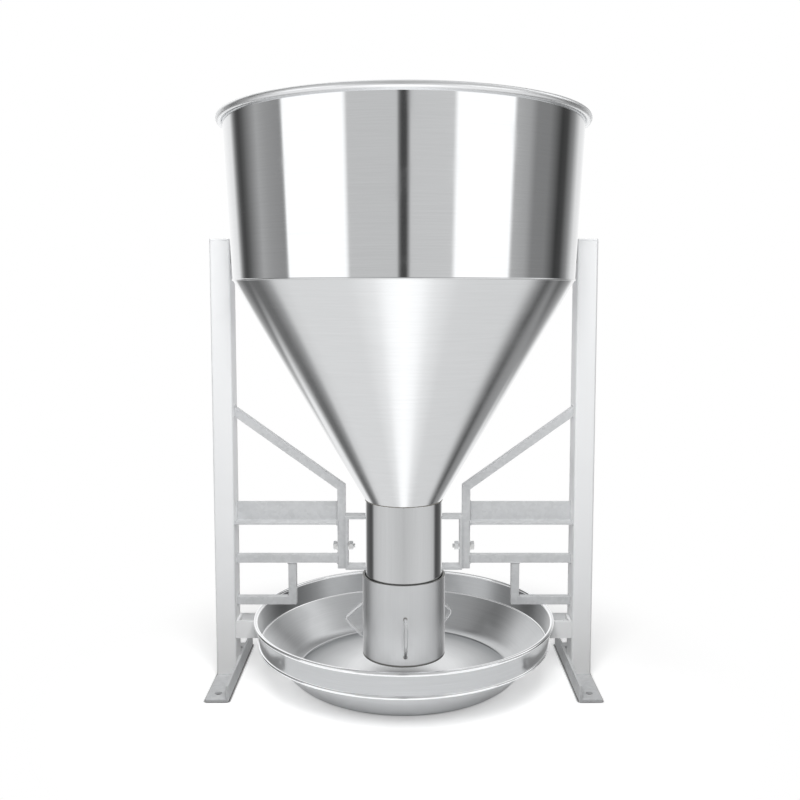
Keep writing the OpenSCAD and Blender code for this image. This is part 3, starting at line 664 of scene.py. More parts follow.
WELD = weld_metal()
RUBBER = dusty_rubber()


# Mesh helpers

SLOTS = {row["node"]: row["material_slot"] for row in frame["record"]["subparts"]}
FINISHES = {
    "pale_paint": PAINT,
    "grey_bar_steel": ZINC,
    "bright_hardware": BRIGHT,
    "satin_steel": SATIN_SHEET,
    "polished_steel": POLISHED,
    "pad_rubber": RUBBER,
}
SAME_POINT = 0.01 * MM
JOIN_WITHIN = SAME_POINT / 100
FLAT_WITHIN = math.radians(0.2)

# Angles in degrees from which an edge stays sharp
SHEET_SHARP = 14
HEX_SHARP = 24
KNOB_SHARP = 30
CUT_SHARP = 35
ROUND_SHARP = 40


def put(name, mesh, body, material=None, replaced=()):
    """Links a finished mesh as a piece that rides on a body."""
    piece = bpy.data.objects.new(name, mesh)
    bpy.context.scene.collection.objects.link(piece)
    if material:
        mesh.materials.clear()
        mesh.materials.append(material)
    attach(piece, body)
    if replaced:
        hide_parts(*replaced)
    return piece


def smooth_faces(mesh, sharp_from=SHEET_SHARP):
    """Shades a mesh smooth, apart from its sharp edges."""
    mesh.shade_smooth()
    mesh.set_sharp_from_angle(angle=math.radians(sharp_from))
    return mesh


def baked(piece):
    """The mesh of an object with its modifiers applied. The object itself is removed."""
    view = bpy.context.evaluated_depsgraph_get()
    mesh = bpy.data.meshes.new_from_object(piece.evaluated_get(view), depsgraph=view)
    mesh.name = piece.name
    bpy.data.objects.remove(piece)
    return mesh


DOWN = -90


def arc(centre, radius, start, end, steps):
    """Points of an arc in radius and height, from one angle to another in degrees."""
    turns = [math.radians(start + (end - start) * i / steps) for i in range(steps + 1)]
    return [(centre[0] + radius * math.cos(t), centre[1] + radius * math.sin(t)) for t in turns]


def eased(outline, radius):
    """A closed outline with each corner cut back to a small round."""
    result = []
    count = len(outline)
    for i, corner in enumerate(outline):
        corner = Vector(corner)
        before = Vector(outline[i - 1]) - corner
        after = Vector(outline[(i + 1) % count]) - corner
        reach = min(radius, CORNER_SHARE * before.length, CORNER_SHARE * after.length)
        start = corner + before.normalized() * reach
        end = corner + after.normalized() * reach
        for step in range(CORNER_STEPS + 1):
            t = step / CORNER_STEPS
            result.append(start * (1 - t) ** 2 + corner * 2 * t * (1 - t) + end * t ** 2)
    return [tuple(point) for point in result]


def spaced(outline, longest):
    """A closed outline with points added along each straight run, two of them close to its ends."""
    result = []
    for i, point in enumerate(outline):
        start, end = Vector(point), Vector(outline[(i + 1) % len(outline)])
        length = (end - start).length
        stops = [0.0]
        if length > HOLD_FROM:
            parts = math.ceil(length / longest)
            hold = EDGE_HOLD / length
            stops += [hold] + [part / parts for part in range(1, parts)] + [1 - hold]
        result += [tuple(start.lerp(end, stop)) for stop in stops]
    return result


def circle(radius, z, steps):
    """A ring of points about Z."""
    turns = [2 * math.pi * i / steps for i in range(steps)]
    return [(radius * math.cos(t), radius * math.sin(t), z) for t in turns]


def skin(name, rings, capped=True, sharp_from=SHEET_SHARP):
    """A closed mesh over rings of points, with flat ends or, uncapped, the last joined to the first."""
    shape = bmesh.new()
    rows = [[shape.verts.new(point) for point in ring] for ring in rings]
    if capped:
        shape.faces.new(rows[0])
        shape.faces.new(rows[-1])
    else:
        rows.append(rows[0])
    for here, there in zip(rows, rows[1:]):
        for i in range(len(here)):
            j = (i + 1) % len(here)
            shape.faces.new((here[i], here[j], there[j], there[i]))
    bmesh.ops.remove_doubles(shape, verts=shape.verts, dist=JOIN_WITHIN)
    bmesh.ops.recalc_face_normals(shape, faces=shape.faces)
    mesh = bpy.data.meshes.new(name)
    shape.to_mesh(mesh)
    shape.free()
    return smooth_faces(mesh, sharp_from)


def solid_copy(node):
    """A copy of a node's mesh with doubled points merged and its flat faces joined."""
    shape = bmesh.new()
    shape.from_mesh(NODES[node].data)
    shape.transform(NODES[node].matrix_world)
    bmesh.ops.remove_doubles(shape, verts=shape.verts, dist=SAME_POINT)
    bmesh.ops.dissolve_limit(shape, angle_limit=FLAT_WITHIN, verts=shape.verts, edges=shape.edges)
    return shape


# Geometry Nodes trees

def geometry_tree(name, inputs):
    """A tree with named inputs after its geometry."""
    tree = bpy.data.node_groups.new(name, "GeometryNodeTree")
    tree.interface.new_socket("Geometry", in_out="INPUT", socket_type="NodeSocketGeometry")
    for label, kind in inputs.items():
        tree.interface.new_socket(label, in_out="INPUT", socket_type=kind)
    tree.interface.new_socket("Finish", in_out="INPUT", socket_type="NodeSocketMaterial")
    tree.interface.new_socket("Geometry", in_out="OUTPUT", socket_type="NodeSocketGeometry")
    return tree, tree.nodes.new("NodeGroupInput").outputs


def end_tree(tree, geometry, given):
    """Realizes the instances and sets the finish."""
    real = add(tree, "GeometryNodeRealizeInstances", {"Geometry": geometry}).outputs[0]
    inputs = {"Geometry": real, "Material": given["Finish"]}
    add(tree, "NodeGroupOutput", {0: add(tree, "GeometryNodeSetMaterial", inputs).outputs[0]})


def turning_tree():
    """Turns the points of an outline, radius in X and height in Z, round the Z axis into a closed solid."""
    tree, given = geometry_tree("turned sheet", {"Steps": INTEGER})
    outline = given["Geometry"]
    rows = add(tree, "GeometryNodeAttributeDomainSize", {"Geometry": outline}).outputs["Point Count"]
    columns = calc(tree, "ADD", given["Steps"], 1.0)
    sheet = add(tree, "GeometryNodeMeshGrid", {"Vertices X": columns, "Vertices Y": rows}).outputs[0]
    index = add(tree, "GeometryNodeInputIndex").outputs[0]
    column = calc(tree, "FLOOR", calc(tree, "DIVIDE", index, rows))
    row = calc(tree, "MODULO", index, rows)
    place = add(tree, "GeometryNodeInputPosition").outputs[0]
    inputs = {"Geometry": outline, "Value": place, "Index": row}
    sample = add(tree, "GeometryNodeSampleIndex", inputs, data_type="FLOAT_VECTOR").outputs[0]
    section = add(tree, "ShaderNodeSeparateXYZ", {0: sample}).outputs
    turn = calc(tree, "MULTIPLY", calc(tree, "DIVIDE", column, given["Steps"]), 2 * math.pi)
    x = calc(tree, "MULTIPLY", section[0], calc(tree, "COSINE", turn))
    y = calc(tree, "MULTIPLY", section[0], calc(tree, "SINE", turn))
    point = add(tree, "ShaderNodeCombineXYZ", {0: x, 1: y, 2: section[2]}).outputs[0]
    round_sheet = add(tree, "GeometryNodeSetPosition", {"Geometry": sheet, "Position": point}).outputs[0]
    inputs = {"Geometry": round_sheet, "Distance": JOIN_WITHIN}
    closed = add(tree, "GeometryNodeMergeByDistance", inputs).outputs[0]
    end_tree(tree, closed, given)
    return tree


TURNED = turning_tree()


def grown(name, tree, base, values):
    """The mesh that a tree makes from a base mesh."""
    piece = bpy.data.objects.new(name, base)
    bpy.context.scene.collection.objects.link(piece)
    modifier = piece.modifiers.new(name, "NODES")
    modifier.node_group = tree
    for socket in tree.interface.items_tree:
        if socket.in_out == "INPUT" and socket.name in values:
            modifier[socket.identifier] = values[socket.name]
    return baked(piece)


def path_mesh(name, paths):
    """A mesh of edges along paths: (points, closed)."""
    points, edges = [], []
    for path, closed in paths:
        first = len(points)
        points += [tuple(point) for point in path]
        edges += [(i, i + 1) for i in range(first, len(points) - 1)]
        if closed:
            edges.append((len(points) - 1, first))
    mesh = bpy.data.meshes.new(name)
    mesh.from_pydata(points, edges, [])
    return mesh


def lathe(name, outline, finish=None, steps=ROUND_STEPS):
    """A solid turned about Z from a closed outline in radius and height, up its outside first."""
    points = [(r, 0, z) for r, z in outline + outline[:1]]
    base = path_mesh(f"{name}_outline", [(points, False)])
    return mark_inner(smooth_faces(grown(name, TURNED, base, {"Steps": steps, "Finish": finish})))


def mark_inner(mesh):
    """Marks the faces that look more upwards than outwards, for finishes with an inner face."""
    inner = mesh.attributes.new(INNER, "FLOAT", "FACE")
    for face in mesh.polygons:
        outwards = face.normal.xy.dot(face.center.xy.normalized())
        inner.data[face.index].value = float(outwards < face.normal.z)
    return mesh


# Hopper, sleeve and bowl: turned sheet

def sheet_ring(name, node, low_r, high_r, finish, body=STAND, lip_r=None):
    """A straight or tapered sheet wall as high as its node, with eased edges.

    With lip_r, its top is turned in to that radius.
    """
    low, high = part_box(node)
    outline = [(low_r - SHEET, low.z), (low_r, low.z), (high_r, high.z)]
    if lip_r:
        outline += [(lip_r, high.z), (lip_r, high.z - SHEET), (high_r - SHEET, high.z - SHEET)]
    else:
        outline.append((high_r - SHEET, high.z))
    mesh = lathe(name, spaced(eased(outline, SHEET_EDGE), RING_STEP), finish)
    return put(name, mesh, body, replaced=[node])


def rolled_rim(name, node, finish):
    """A bead rolled round the edge of a sheet."""
    low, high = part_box(node)
    radius = (high.z - low.z) / 2
    section = arc((high.x - radius, low.z + radius), radius, 0, 360, BEAD_STEPS)[:-1]
    return put(name, lathe(name, section, finish), STAND, replaced=[node])


def seam_ridge(name, seam_r, seam_z, radius, finish):
    """The rounded edge of sheet along a seam between two rings."""
    section = arc((seam_r, seam_z), radius, 0, 360, BEAD_STEPS)[:-1]
    return put(name, lathe(name, section, finish), STAND)


def hopper():
    """Drum, rim, cone with its collar inside the drum, tube and sleeve."""
    drum_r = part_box("hopper_drum")[1].x
    cone_low, cone_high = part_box("hopper_cone")
    tube_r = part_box("outlet_tube")[1].x
    seam_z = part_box("hopper_drum")[0].z
    seam_r = cone_high.x
    sheet_ring("drum_shell", "hopper_drum", seam_r, drum_r, POLISHED)
    rolled_rim("rim_roll", "rim_bead", HOPPER_RIM)
    wall = SHEET * math.hypot(seam_z - cone_low.z, seam_r - tube_r) / (seam_z - cone_low.z)
    lap_lean = (drum_r - seam_r) / (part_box("hopper_drum")[1].z - seam_z)
    lap_r = seam_r - SHEET - LAP_GAP
    lap_top_r = lap_r + lap_lean * (cone_high.z - seam_z)
    fold_z = seam_z - CONE_FOLD * (seam_z - cone_low.z) / (seam_r - tube_r)
    outline = [
        (tube_r - wall, cone_low.z), (tube_r, cone_low.z), (seam_r, seam_z), (lap_r, seam_z),
        (lap_top_r, cone_high.z), (lap_top_r - SHEET, cone_high.z), (lap_r - SHEET, seam_z),
        (seam_r - wall - CONE_FOLD, fold_z),
    ]
    mesh = lathe("cone_shell", spaced(eased(outline, SHEET_EDGE / 2), RING_STEP), CONE_SHEET)
    put("cone_shell", mesh, STAND, replaced=["hopper_cone"])
    sheet_ring("tube_shell", "outlet_tube", tube_r, tube_r, TUBE_SHEET)
    sleeve_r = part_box("feed_sleeve")[1].x
    lip_r = tube_r + SLEEVE_LIP_ROOM
    sheet_ring("sleeve_shell", "feed_sleeve", sleeve_r, sleeve_r, SLEEVE_SHEET, SLEEVE, lip_r)
    seam_ridge("hopper_seam_ridge", seam_r, seam_z, HOPPER_SEAM_R, POLISHED)


def bowl():
    """The dished pan with a pressed ring in its bend, the band above it, the rim and their seam.

    Neither the bowl itself nor the sleeve mirrors them.
    """
    low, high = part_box("bowl_pan")
    side_r = high.x - BOWL_LEDGE
    run = Vector((side_r - BOWL_FLOOR_R, high.z - SHEET - low.z - BOWL_BEND_R))
    bend_end = math.degrees(math.atan2(run.y, run.x) - math.acos(BOWL_BEND_R / run.length))
    centre = (BOWL_FLOOR_R, low.z + BOWL_BEND_R)
    inner_bend_r = BOWL_BEND_R - SHEET
    bend_top = arc(centre, inner_bend_r, bend_end, bend_end, 1)[0]
    top_r = bend_top[0] - (high.z - bend_top[1]) * math.tan(math.radians(bend_end))
    top_turn, low_turn = (
        -math.degrees(math.acos((r - BOWL_FLOOR_R) / inner_bend_r))
        for r in (BOWL_RING_R + BOWL_RING_W / 2, BOWL_RING_R - BOWL_RING_W / 2)
    )
    ring = [
        arc(centre, inner_bend_r - BOWL_RING_H * math.sin(math.pi * along) ** 2, turn, turn, 1)[0]
        for along, turn in (
            (i / PRESSED_STEPS, top_turn + (low_turn - top_turn) * i / PRESSED_STEPS)
            for i in range(PRESSED_STEPS + 1)
        )
    ]
    outline = [(0, low.z)] + arc(centre, BOWL_BEND_R, DOWN, bend_end, BEND_STEPS)
    outline += [(side_r, high.z - SHEET), (high.x, high.z - SHEET), (high.x, high.z), (top_r, high.z)]
    outline += arc(centre, inner_bend_r, bend_end, top_turn, BEND_STEPS // 2)[:-1] + ring
    outline += arc(centre, inner_bend_r, low_turn, DOWN, BEND_STEPS // 2)[1:] + [(0, low.z + SHEET)]
    mesh = lathe("bowl_dish", spaced(outline, RING_STEP), DISH)
    band_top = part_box("bowl_band")[1].x
    rings = [
        put("bowl_dish", mesh, STAND, replaced=["bowl_pan"]),
        sheet_ring("bowl_band_ring", "bowl_band", high.x, band_top, BAND_SHEET),
        rolled_rim("bowl_rim_roll", "bowl_rim_bead", RIM_STEEL),
        seam_ridge("bowl_seam_ridge", high.x, high.z - BOWL_SEAM_R / 2, BOWL_SEAM_R, RIM_STEEL),
    ]
    for piece in rings:
        piece.visible_glossy = False


# Cut, bent and welded pieces: the CAD solids with eased edges

SIDE_PIECES = (
    "post", "post_cap", "foot", "brace", "rail", "mid_bar", "lower_bar", "tube_strap", "bowl_bracket",
)
SIDE_NODES = [f"{side}_{piece}" for piece in SIDE_PIECES for side in SIDES]
EASED_NODES = {
    STAND: SIDE_NODES + ["bridge_bar", "drum_pads", "guide_bush", "key_plate", "key_screw"],
    ROD: ["rod_collar", "thrust_washer"],
    SLEEVE: ["sleeve_spider"],
}

# The side frames and their hardware, which polished sheet doesn't mirror
NOT_MIRRORED = SIDE_NODES + [
    "strap_bolts", "strap_nuts", "flat_washers", "bracket_bolts", "hopper_bolts", "post_weld_nuts",
]
EDGE = 0.7 * MM


def eased_solid(node, body):
    """A node's solid with its edges rounded over."""
    mesh = bpy.data.meshes.new(f"{node}_eased")
    shape = solid_copy(node)
    shape.to_mesh(mesh)
    shape.free()
    if "custom_normal" in mesh.attributes:
        mesh.attributes.remove(mesh.attributes["custom_normal"])
    smooth_faces(mesh, CUT_SHARP)
    piece = bpy.data.objects.new(mesh.name, mesh)
    bpy.context.scene.collection.objects.link(piece)
    bevel = piece.modifiers.new("eased edges", "BEVEL")
    bevel.width = EDGE
    bevel.segments = 2
    bevel.limit_method = "ANGLE"
    bevel.angle_limit = math.radians(CUT_SHARP)
    bevel.harden_normals = True
    piece = put(f"{node}_eased", baked(piece), body, FINISHES[SLOTS[node]], [node])
    piece.visible_glossy = node not in NOT_MIRRORED


# Geometry Nodes trees for fasteners, wire and welds

DROP_SIZES = (0.85, 1.12)


def fastener_tree():
    """Sets a template on each point, turned to the point's own direction."""
    tree, given = geometry_tree("fasteners", {"Template": "NodeSocketObject"})
    way = add(tree, "GeometryNodeInputNamedAttribute", {"Name": "way"}, data_type="FLOAT_VECTOR")
    turn = add(tree, "FunctionNodeAlignRotationToVector", {"Vector": way.outputs[0]}, axis="Z")
    template = add(tree, "GeometryNodeObjectInfo", {"Object": given["Template"]})
    inputs = {
        "Points": given["Geometry"],
        "Instance": template.outputs["Geometry"],
        "Rotation": turn.outputs[0],
    }
    placed = add(tree, "GeometryNodeInstanceOnPoints", inputs)
    end_tree(tree, placed.outputs[0], given)
    return tree


def wire_tree():
    """Bends a round wire along a path of straight lines."""
    floats = {"Wire radius": FLOAT, "Bend radius": FLOAT}
    tree, given = geometry_tree("bent wire", floats)
    path = add(tree, "GeometryNodeMeshToCurve", {"Mesh": given["Geometry"]}).outputs[0]
    inputs = {"Curve": path, "Count": 14, "Radius": given["Bend radius"], "Limit Radius": True}
    bent = add(tree, "GeometryNodeFilletCurve", inputs, mode="POLY").outputs[0]
    ring = add(tree, "GeometryNodeCurvePrimitiveCircle", {"Resolution": 20, "Radius": given["Wire radius"]})
    inputs = {"Curve": bent, "Profile Curve": ring.outputs[0], "Fill Caps": True}
    wire = add(tree, "GeometryNodeCurveToMesh", inputs).outputs[0]
    end_tree(tree, wire, given)
    return tree


def weld_tree():
    """Lays overlapping drops of weld metal, of uneven size, along a path."""
    floats = {"Drop radius": FLOAT, "Drop spacing": FLOAT}
    tree, given = geometry_tree("weld run", {**floats, "Seed": INTEGER})
    path = add(tree, "GeometryNodeMeshToCurve", {"Mesh": given["Geometry"]}).outputs[0]
    inputs = {"Curve": path, "Length": given["Drop spacing"]}
    even = add(tree, "GeometryNodeResampleCurve", inputs, mode="LENGTH").outputs[0]
    along = add(tree, "GeometryNodeInputTangent").outputs[0]
    turn = add(tree, "FunctionNodeAlignRotationToVector", {"Vector": along}, axis="X").outputs[0]
    inputs = {"Segments": 8, "Rings": 5, "Radius": given["Drop radius"]}
    drop = add(tree, "GeometryNodeMeshUVSphere", inputs).outputs[0]
    inputs = {2: DROP_SIZES[0], 3: DROP_SIZES[1], "Seed": given["Seed"]}
    size = add(tree, "FunctionNodeRandomValue", inputs).outputs[1]
    inputs = {"Points": even, "Instance": drop, "Rotation": turn, "Scale": size}
    run = add(tree, "GeometryNodeInstanceOnPoints", inputs).outputs[0]
    soft = add(tree, "GeometryNodeSetShadeSmooth", {"Geometry": run}).outputs[0]
    end_tree(tree, soft, given)
    return tree


FASTENERS, WIRE, WELD_RUN = fastener_tree(), wire_tree(), weld_tree()


# Fasteners

HEX_STEPS = 48
CHAMFER = math.tan(math.radians(30))
FACE_SHARE = 0.97
THREAD_LENGTH = 12 * MM
THREAD_STEPS = 8

# Half widths of a thread's groove, at its bottom and its top, in pitches
GROOVE_BOTTOM = 0.2
GROOVE_TOP = 0.4

# Shares of a bolt's shank, a rod's radius or a nut's bore
END_SHARE = 0.8
BOLT_PITCH = 0.32
BOLT_GROOVE = 0.15
ROD_GROOVE = 0.12
BORE_MOUTH = 0.12


def islands(node):
    """The points of each separate solid of a node, in the order of its mesh."""
    shape = solid_copy(node)
    left = set(shape.verts)
    found = []
    for first in shape.verts:
        if first not in left:
            continue
        left.remove(first)
        todo, group = [first], []
        while todo:
            vert = todo.pop()
            group.append(vert.co.copy())
            beside = [edge.other_vert(vert) for edge in vert.link_edges]
            todo += [other for other in beside if other in left]
            left.difference_update(beside)
        found.append(group)
    shape.free()
    return found


def turned_sizes(points, axis):
    """Middle, ends along the axis, and the reach of the points from the axis."""
    low = Vector([min(p[i] for p in points) for i in range(3)])
    high = Vector([max(p[i] for p in points) for i in range(3)])
    middle = (low + high) / 2
    across = [i for i in range(3) if i != axis]
    reach = [math.hypot(*(p[i] - middle[i] for i in across)) for p in points]
    return middle, low[axis], high[axis], reach


def hex_ring(corner_r, z, chamfer_side=0):
    """A hexagon of points, with its corners turned off towards one side."""
    flat = corner_r * math.cos(math.pi / 6)
    ring = []
    for i in range(HEX_STEPS):
        turn = 2 * math.pi * i / HEX_STEPS
        reach = flat / math.cos(turn % (math.pi / 3) - math.pi / 6)
        drop = max(0.0, reach - FACE_SHARE * flat) * CHAMFER * chamfer_side
        ring.append((reach * math.cos(turn), reach * math.sin(turn), z - drop))
    return ring


def thread(radius, pitch, low, high, steps, depth):
    """Rings of a screw thread from one height to another."""
    count = round((high - low) / pitch * THREAD_STEPS)
    rings = []
    for row in range(count + 1):
        z = low + (high - low) * row / count
        ring = []
        for i in range(steps):
            turn = i / steps
            phase = (z / pitch - turn) % 1.0
            slope = (GROOVE_TOP - abs(phase - 0.5)) / (GROOVE_TOP - GROOVE_BOTTOM)
            reach = radius - depth * min(1.0, max(0.0, slope))
            ring.append((reach * math.cos(2 * math.pi * turn), reach * math.sin(2 * math.pi * turn), z))
        rings.append(ring)
    return rings


def bolt_template(head_r, head_h, shank_r, length):
    """A hexagon bolt with its head above z = 0 and its shank below."""
    face_r = FACE_SHARE * head_r * math.cos(math.pi / 6)
    pitch = BOLT_PITCH * shank_r
    threaded = min(THREAD_LENGTH, length - pitch)
    rings = [circle(END_SHARE * shank_r, -length, HEX_STEPS)]
    rings += thread(shank_r, pitch, -length + pitch, threaded - length, HEX_STEPS, BOLT_GROOVE * shank_r)
    rings += [circle(shank_r, threaded - length + pitch / 4, HEX_STEPS), circle(shank_r, 0, HEX_STEPS)]
    rings += [circle(face_r, 0, HEX_STEPS), hex_ring(head_r, 0, -1), hex_ring(head_r, head_h, 1)]
    rings.append(circle(face_r, head_h, HEX_STEPS))
    return skin("bolt", rings, sharp_from=HEX_SHARP)


def nut_template(corner_r, bore_r, height):
    """A hexagon nut about z = 0, with chamfered faces and bore."""
    face_r = FACE_SHARE * corner_r * math.cos(math.pi / 6)
    half, mouth = height / 2, BORE_MOUTH * bore_r
    rings = [
        circle(bore_r, mouth - half, HEX_STEPS), circle(bore_r + mouth, -half, HEX_STEPS),
        circle(face_r, -half, HEX_STEPS), hex_ring(corner_r, -half, -1), hex_ring(corner_r, half, 1),
        circle(face_r, half, HEX_STEPS), circle(bore_r + mouth, half, HEX_STEPS),
        circle(bore_r, half - mouth, HEX_STEPS),
    ]
    return skin("nut", rings, capped=False, sharp_from=HEX_SHARP)


def washer_template(outer_r, bore_r, height):
    """A flat washer about z = 0, with eased edges."""
    half = height / 2
    outline = [(bore_r, -half), (outer_r, -half), (outer_r, half), (bore_r, half)]
    return lathe("washer", eased(outline, height / 4), steps=HEX_STEPS)


def place_fasteners(name, node, body, template, points, ways):
    """One mesh of a template at each point, turned to its way."""
    base = path_mesh(f"{name}_points", [([point], False) for point in points])
    way = base.attributes.new("way", "FLOAT_VECTOR", "POINT")
    way.data.foreach_set("vector", [part for direction in ways for part in direction])
    pattern = bpy.data.objects.new(f"{name}_template", template)
    bpy.context.scene.collection.objects.link(pattern)
    mesh = grown(name, FASTENERS, base, {"Template": pattern, "Finish": BRIGHT})
    bpy.data.objects.remove(pattern)
    piece = put(name, mesh, body, replaced=[node])
    piece.visible_glossy = node not in NOT_MIRRORED


def bolts(name, node, axis=0):
    """Hexagon bolts of one size in the places of a node's solids."""
    seats, ways = [], []
    for points in islands(node):
        middle, low, high, reach = turned_sizes(points, axis)
        low_r = max(r for p, r in zip(points, reach) if p[axis] < low + SAME_POINT)
        high_r = max(r for p, r in zip(points, reach) if p[axis] > high - SAME_POINT)
        head_r, shank_r = max(low_r, high_r), min(low_r, high_r)
        inside = [p[axis] for p, r in zip(points, reach) if r > (head_r + shank_r) / 2]
        upwards = high_r > low_r
        seat, way = middle.copy(), Vector((0, 0, 0))
        seat[axis] = min(inside) if upwards else max(inside)
        way[axis] = 1 if upwards else -1
        head_h = high - seat[axis] if upwards else seat[axis] - low
        length = high - low - head_h
        seats.append(seat)
        ways.append(way)
    place_fasteners(name, node, STAND, bolt_template(head_r, head_h, shank_r, length), seats, ways)


def rings_on_bolts(name, node, body, axis, make):
    """Nuts or washers in the places of a node's solids, as one piece for each size, the widest first."""
    sizes = {}
    for points in islands(node):
        middle, low, high, reach = turned_sizes(points, axis)
        key = tuple(round(value / SAME_POINT) for value in (max(reach), min(reach), high - low))
        sizes.setdefault(key, []).append(middle)
    way = Vector((0, 0, 0))
    way[axis] = 1
    for number, (key, places) in enumerate(sorted(sizes.items(), reverse=True)):
        template = make(*(value * SAME_POINT for value in key))
        suffix = f"_{number + 1}" if len(sizes) > 1 else ""
        place_fasteners(name + suffix, node, body, template, places, [way] * len(places))


def fasteners():
    """Bolts, nuts and washers of the stand, and the nuts on the rod."""
    for node in ("strap_bolts", "bracket_bolts", "hopper_bolts"):
        bolts(f"{node}_hex", node)
    rings_on_bolts("strap_nuts_hex", "strap_nuts", STAND, 0, nut_template)
    rings_on_bolts("flat_washers_turned", "flat_washers", STAND, 0, washer_template)
    for node in ("rod_end_nut", "lock_nuts"):
        rings_on_bolts(f"{node}_hex", node, ROD, 2, nut_template)


# Adjusting rod and hand nut

ROD_PITCH = 3 * MM
ROD_STEPS = 36
KEYWAY_DEPTH = 2.5 * MM
KEYWAY_HALF = 2.5 * MM


def threaded_rod():
    """The adjusting rod: a thread from end to end, with a flat keyway along it."""
    low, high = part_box("adjusting_rod")
    radius = high.x
    flat_x = radius - KEYWAY_DEPTH
    shape = solid_copy("adjusting_rod")
    key_z = [v.co.z for v in shape.verts if abs(v.co.x - flat_x) < SAME_POINT]
    shape.free()
    end = ROD_PITCH / 2
    rings = [circle(END_SHARE * radius, low.z, ROD_STEPS)]
    rings += thread(radius, ROD_PITCH, low.z + end, high.z - end, ROD_STEPS, ROD_GROOVE * radius)
    rings.append(circle(END_SHARE * radius, high.z, ROD_STEPS))
    mesh = skin("rod_thread", rings, sharp_from=ROUND_SHARP)
    for vert in mesh.vertices:
        x, y, z = vert.co
        if x > flat_x and abs(y) < KEYWAY_HALF and min(key_z) < z < max(key_z):
            vert.co.x = flat_x
    put("rod_thread", mesh, ROD, BRIGHT, ["adjusting_rod"])


KNOB_R = 8 * MM
HAND_BAR_R = 4.5 * MM
HAND_BAR_STEPS = 32
KNOB_STEPS = (40, 24)
FLUTES = 20
FLUTE_DEPTH = 0.5 * MM
HUB_EDGE = 1.2 * MM
HUB_STEPS = 120
HUB_RING_STEP = 3 * MM


def flute(step):
    """Depth of the hub's flutes at a step of its circle, from 0 to 1."""
    return 0.5 - 0.5 * math.cos(2 * math.pi * FLUTES * step / HUB_STEPS)


def hand_nut():
    """A fluted hub with a cross bar and two ball knobs."""
    low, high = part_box("hand_nut")
    shape = bmesh.new()
    points = islands("hand_nut")[0]
    middle_z = (low.z + high.z) / 2
    hub_points = [p for p in points if abs(p.z - high.z) < SAME_POINT]
    hub_r = max(math.hypot(p.x, p.y) for p in hub_points)
    bore_r = min(math.hypot(p.x, p.y) for p in hub_points)
    bar_end = high.x - KNOB_R
    outline = eased([(bore_r, low.z), (hub_r, low.z), (hub_r, high.z), (bore_r, high.z)], HUB_EDGE)
    rings = []
    for r, z in spaced(outline, HUB_RING_STEP):
        cut = FLUTE_DEPTH if r > hub_r - HUB_EDGE / 2 else 0.0
        rings.append([
            (x * (1 - cut * flute(i) / r), y * (1 - cut * flute(i) / r), z)
            for i, (x, y, z) in enumerate(circle(r, z, HUB_STEPS))
        ])
    shape.from_mesh(skin("hub", rings, capped=False, sharp_from=KNOB_SHARP))
    for side in (-1, 1):
        ring = circle(HAND_BAR_R, 0, HAND_BAR_STEPS)
        bar = [[(side * x, y, middle_z + z) for y, z, _ in ring] for x in (hub_r - HUB_EDGE, bar_end)]
        shape.from_mesh(skin("bar", bar, sharp_from=KNOB_SHARP))
        round_steps, high_steps = KNOB_STEPS
        ball = bmesh.ops.create_uvsphere(
            shape, u_segments=round_steps, v_segments=high_steps, radius=KNOB_R
        )
        bmesh.ops.translate(shape, verts=ball["verts"], vec=(side * bar_end, 0, middle_z))
    mesh = bpy.data.meshes.new("hand_nut_turned")
    shape.to_mesh(mesh)
    shape.free()
    smooth_faces(mesh, KNOB_SHARP)
    put("hand_nut_turned", mesh, HAND_NUT, BRIGHT, ["hand_nut"])


# Nudge loops

WIRE_R = 2.5 * MM
LOOP_HALF = 31 * MM
LOOP_REACH = 33 * MM
LOOP_BEND = 8 * MM
LOOP_UP = 47 * MM
LOOP_FOOT_GAP = 0.8 * MM
FOOT_WELD = 1.1
FOOT_WELD_STEPS = 16
LOOP_TURNS = {"front": -88, "left": 166, "right": 36}


def at_turn(turn, reach, z, aside=0.0):
    """A point at a turn from +X in degrees, a reach from Z and a step aside."""
    turn = math.radians(turn)
    return Vector((
        reach * math.cos(turn) - aside * math.sin(turn),
        reach * math.sin(turn) + aside * math.cos(turn),
        z,
    ))


def nudge_loops():
    """Three bent wires on the sleeve, each with a weld round both feet."""
    low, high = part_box("feed_sleeve")
    sleeve_r, middle_z = high.x, low.z + LOOP_UP
    bend_r = sleeve_r + LOOP_REACH - WIRE_R - LOOP_BEND
    run = bend_r - sleeve_r
    lean = math.acos(LOOP_BEND / math.hypot(LOOP_HALF, run)) - math.atan2(run, LOOP_HALF)
    corner_r = bend_r + LOOP_BEND / math.sin(lean)
    foot_r = sleeve_r + LOOP_FOOT_GAP
    foot_half = (corner_r - foot_r) * math.tan(lean)
    wires, welds = [], []
    for turn in LOOP_TURNS.values():
        wires.append(([
            at_turn(turn, foot_r, middle_z + foot_half),
            at_turn(turn, corner_r, middle_z),
            at_turn(turn, foot_r, middle_z - foot_half),
        ], False))
        for side in (-1, 1):
            middle = (0, middle_z + side * foot_half)
            ring = arc(middle, FOOT_WELD * WIRE_R, 0, 360, FOOT_WELD_STEPS)[:-1]
            welds.append(([at_turn(turn, sleeve_r, z, aside) for aside, z in ring], True))
    values = {"Wire radius": WIRE_R, "Bend radius": LOOP_BEND, "Finish": WIRE_STEEL}
    mesh = smooth_faces(grown("nudge_wires", WIRE, path_mesh("wire_paths", wires), values), ROUND_SHARP)
    nodes = [f"nudge_loop_{name}" for name in LOOP_TURNS]
    put("nudge_wires", mesh, SLEEVE, replaced=nodes)
    seam = ([(0, sleeve_r, low.z + SLEEVE_WELD_INSET), (0, sleeve_r, high.z - SLEEVE_WELD_INSET)], False)
    weld("sleeve_welds", SLEEVE, WELD, welds + [seam], SHEET_WELD_R, 1)


# Welds

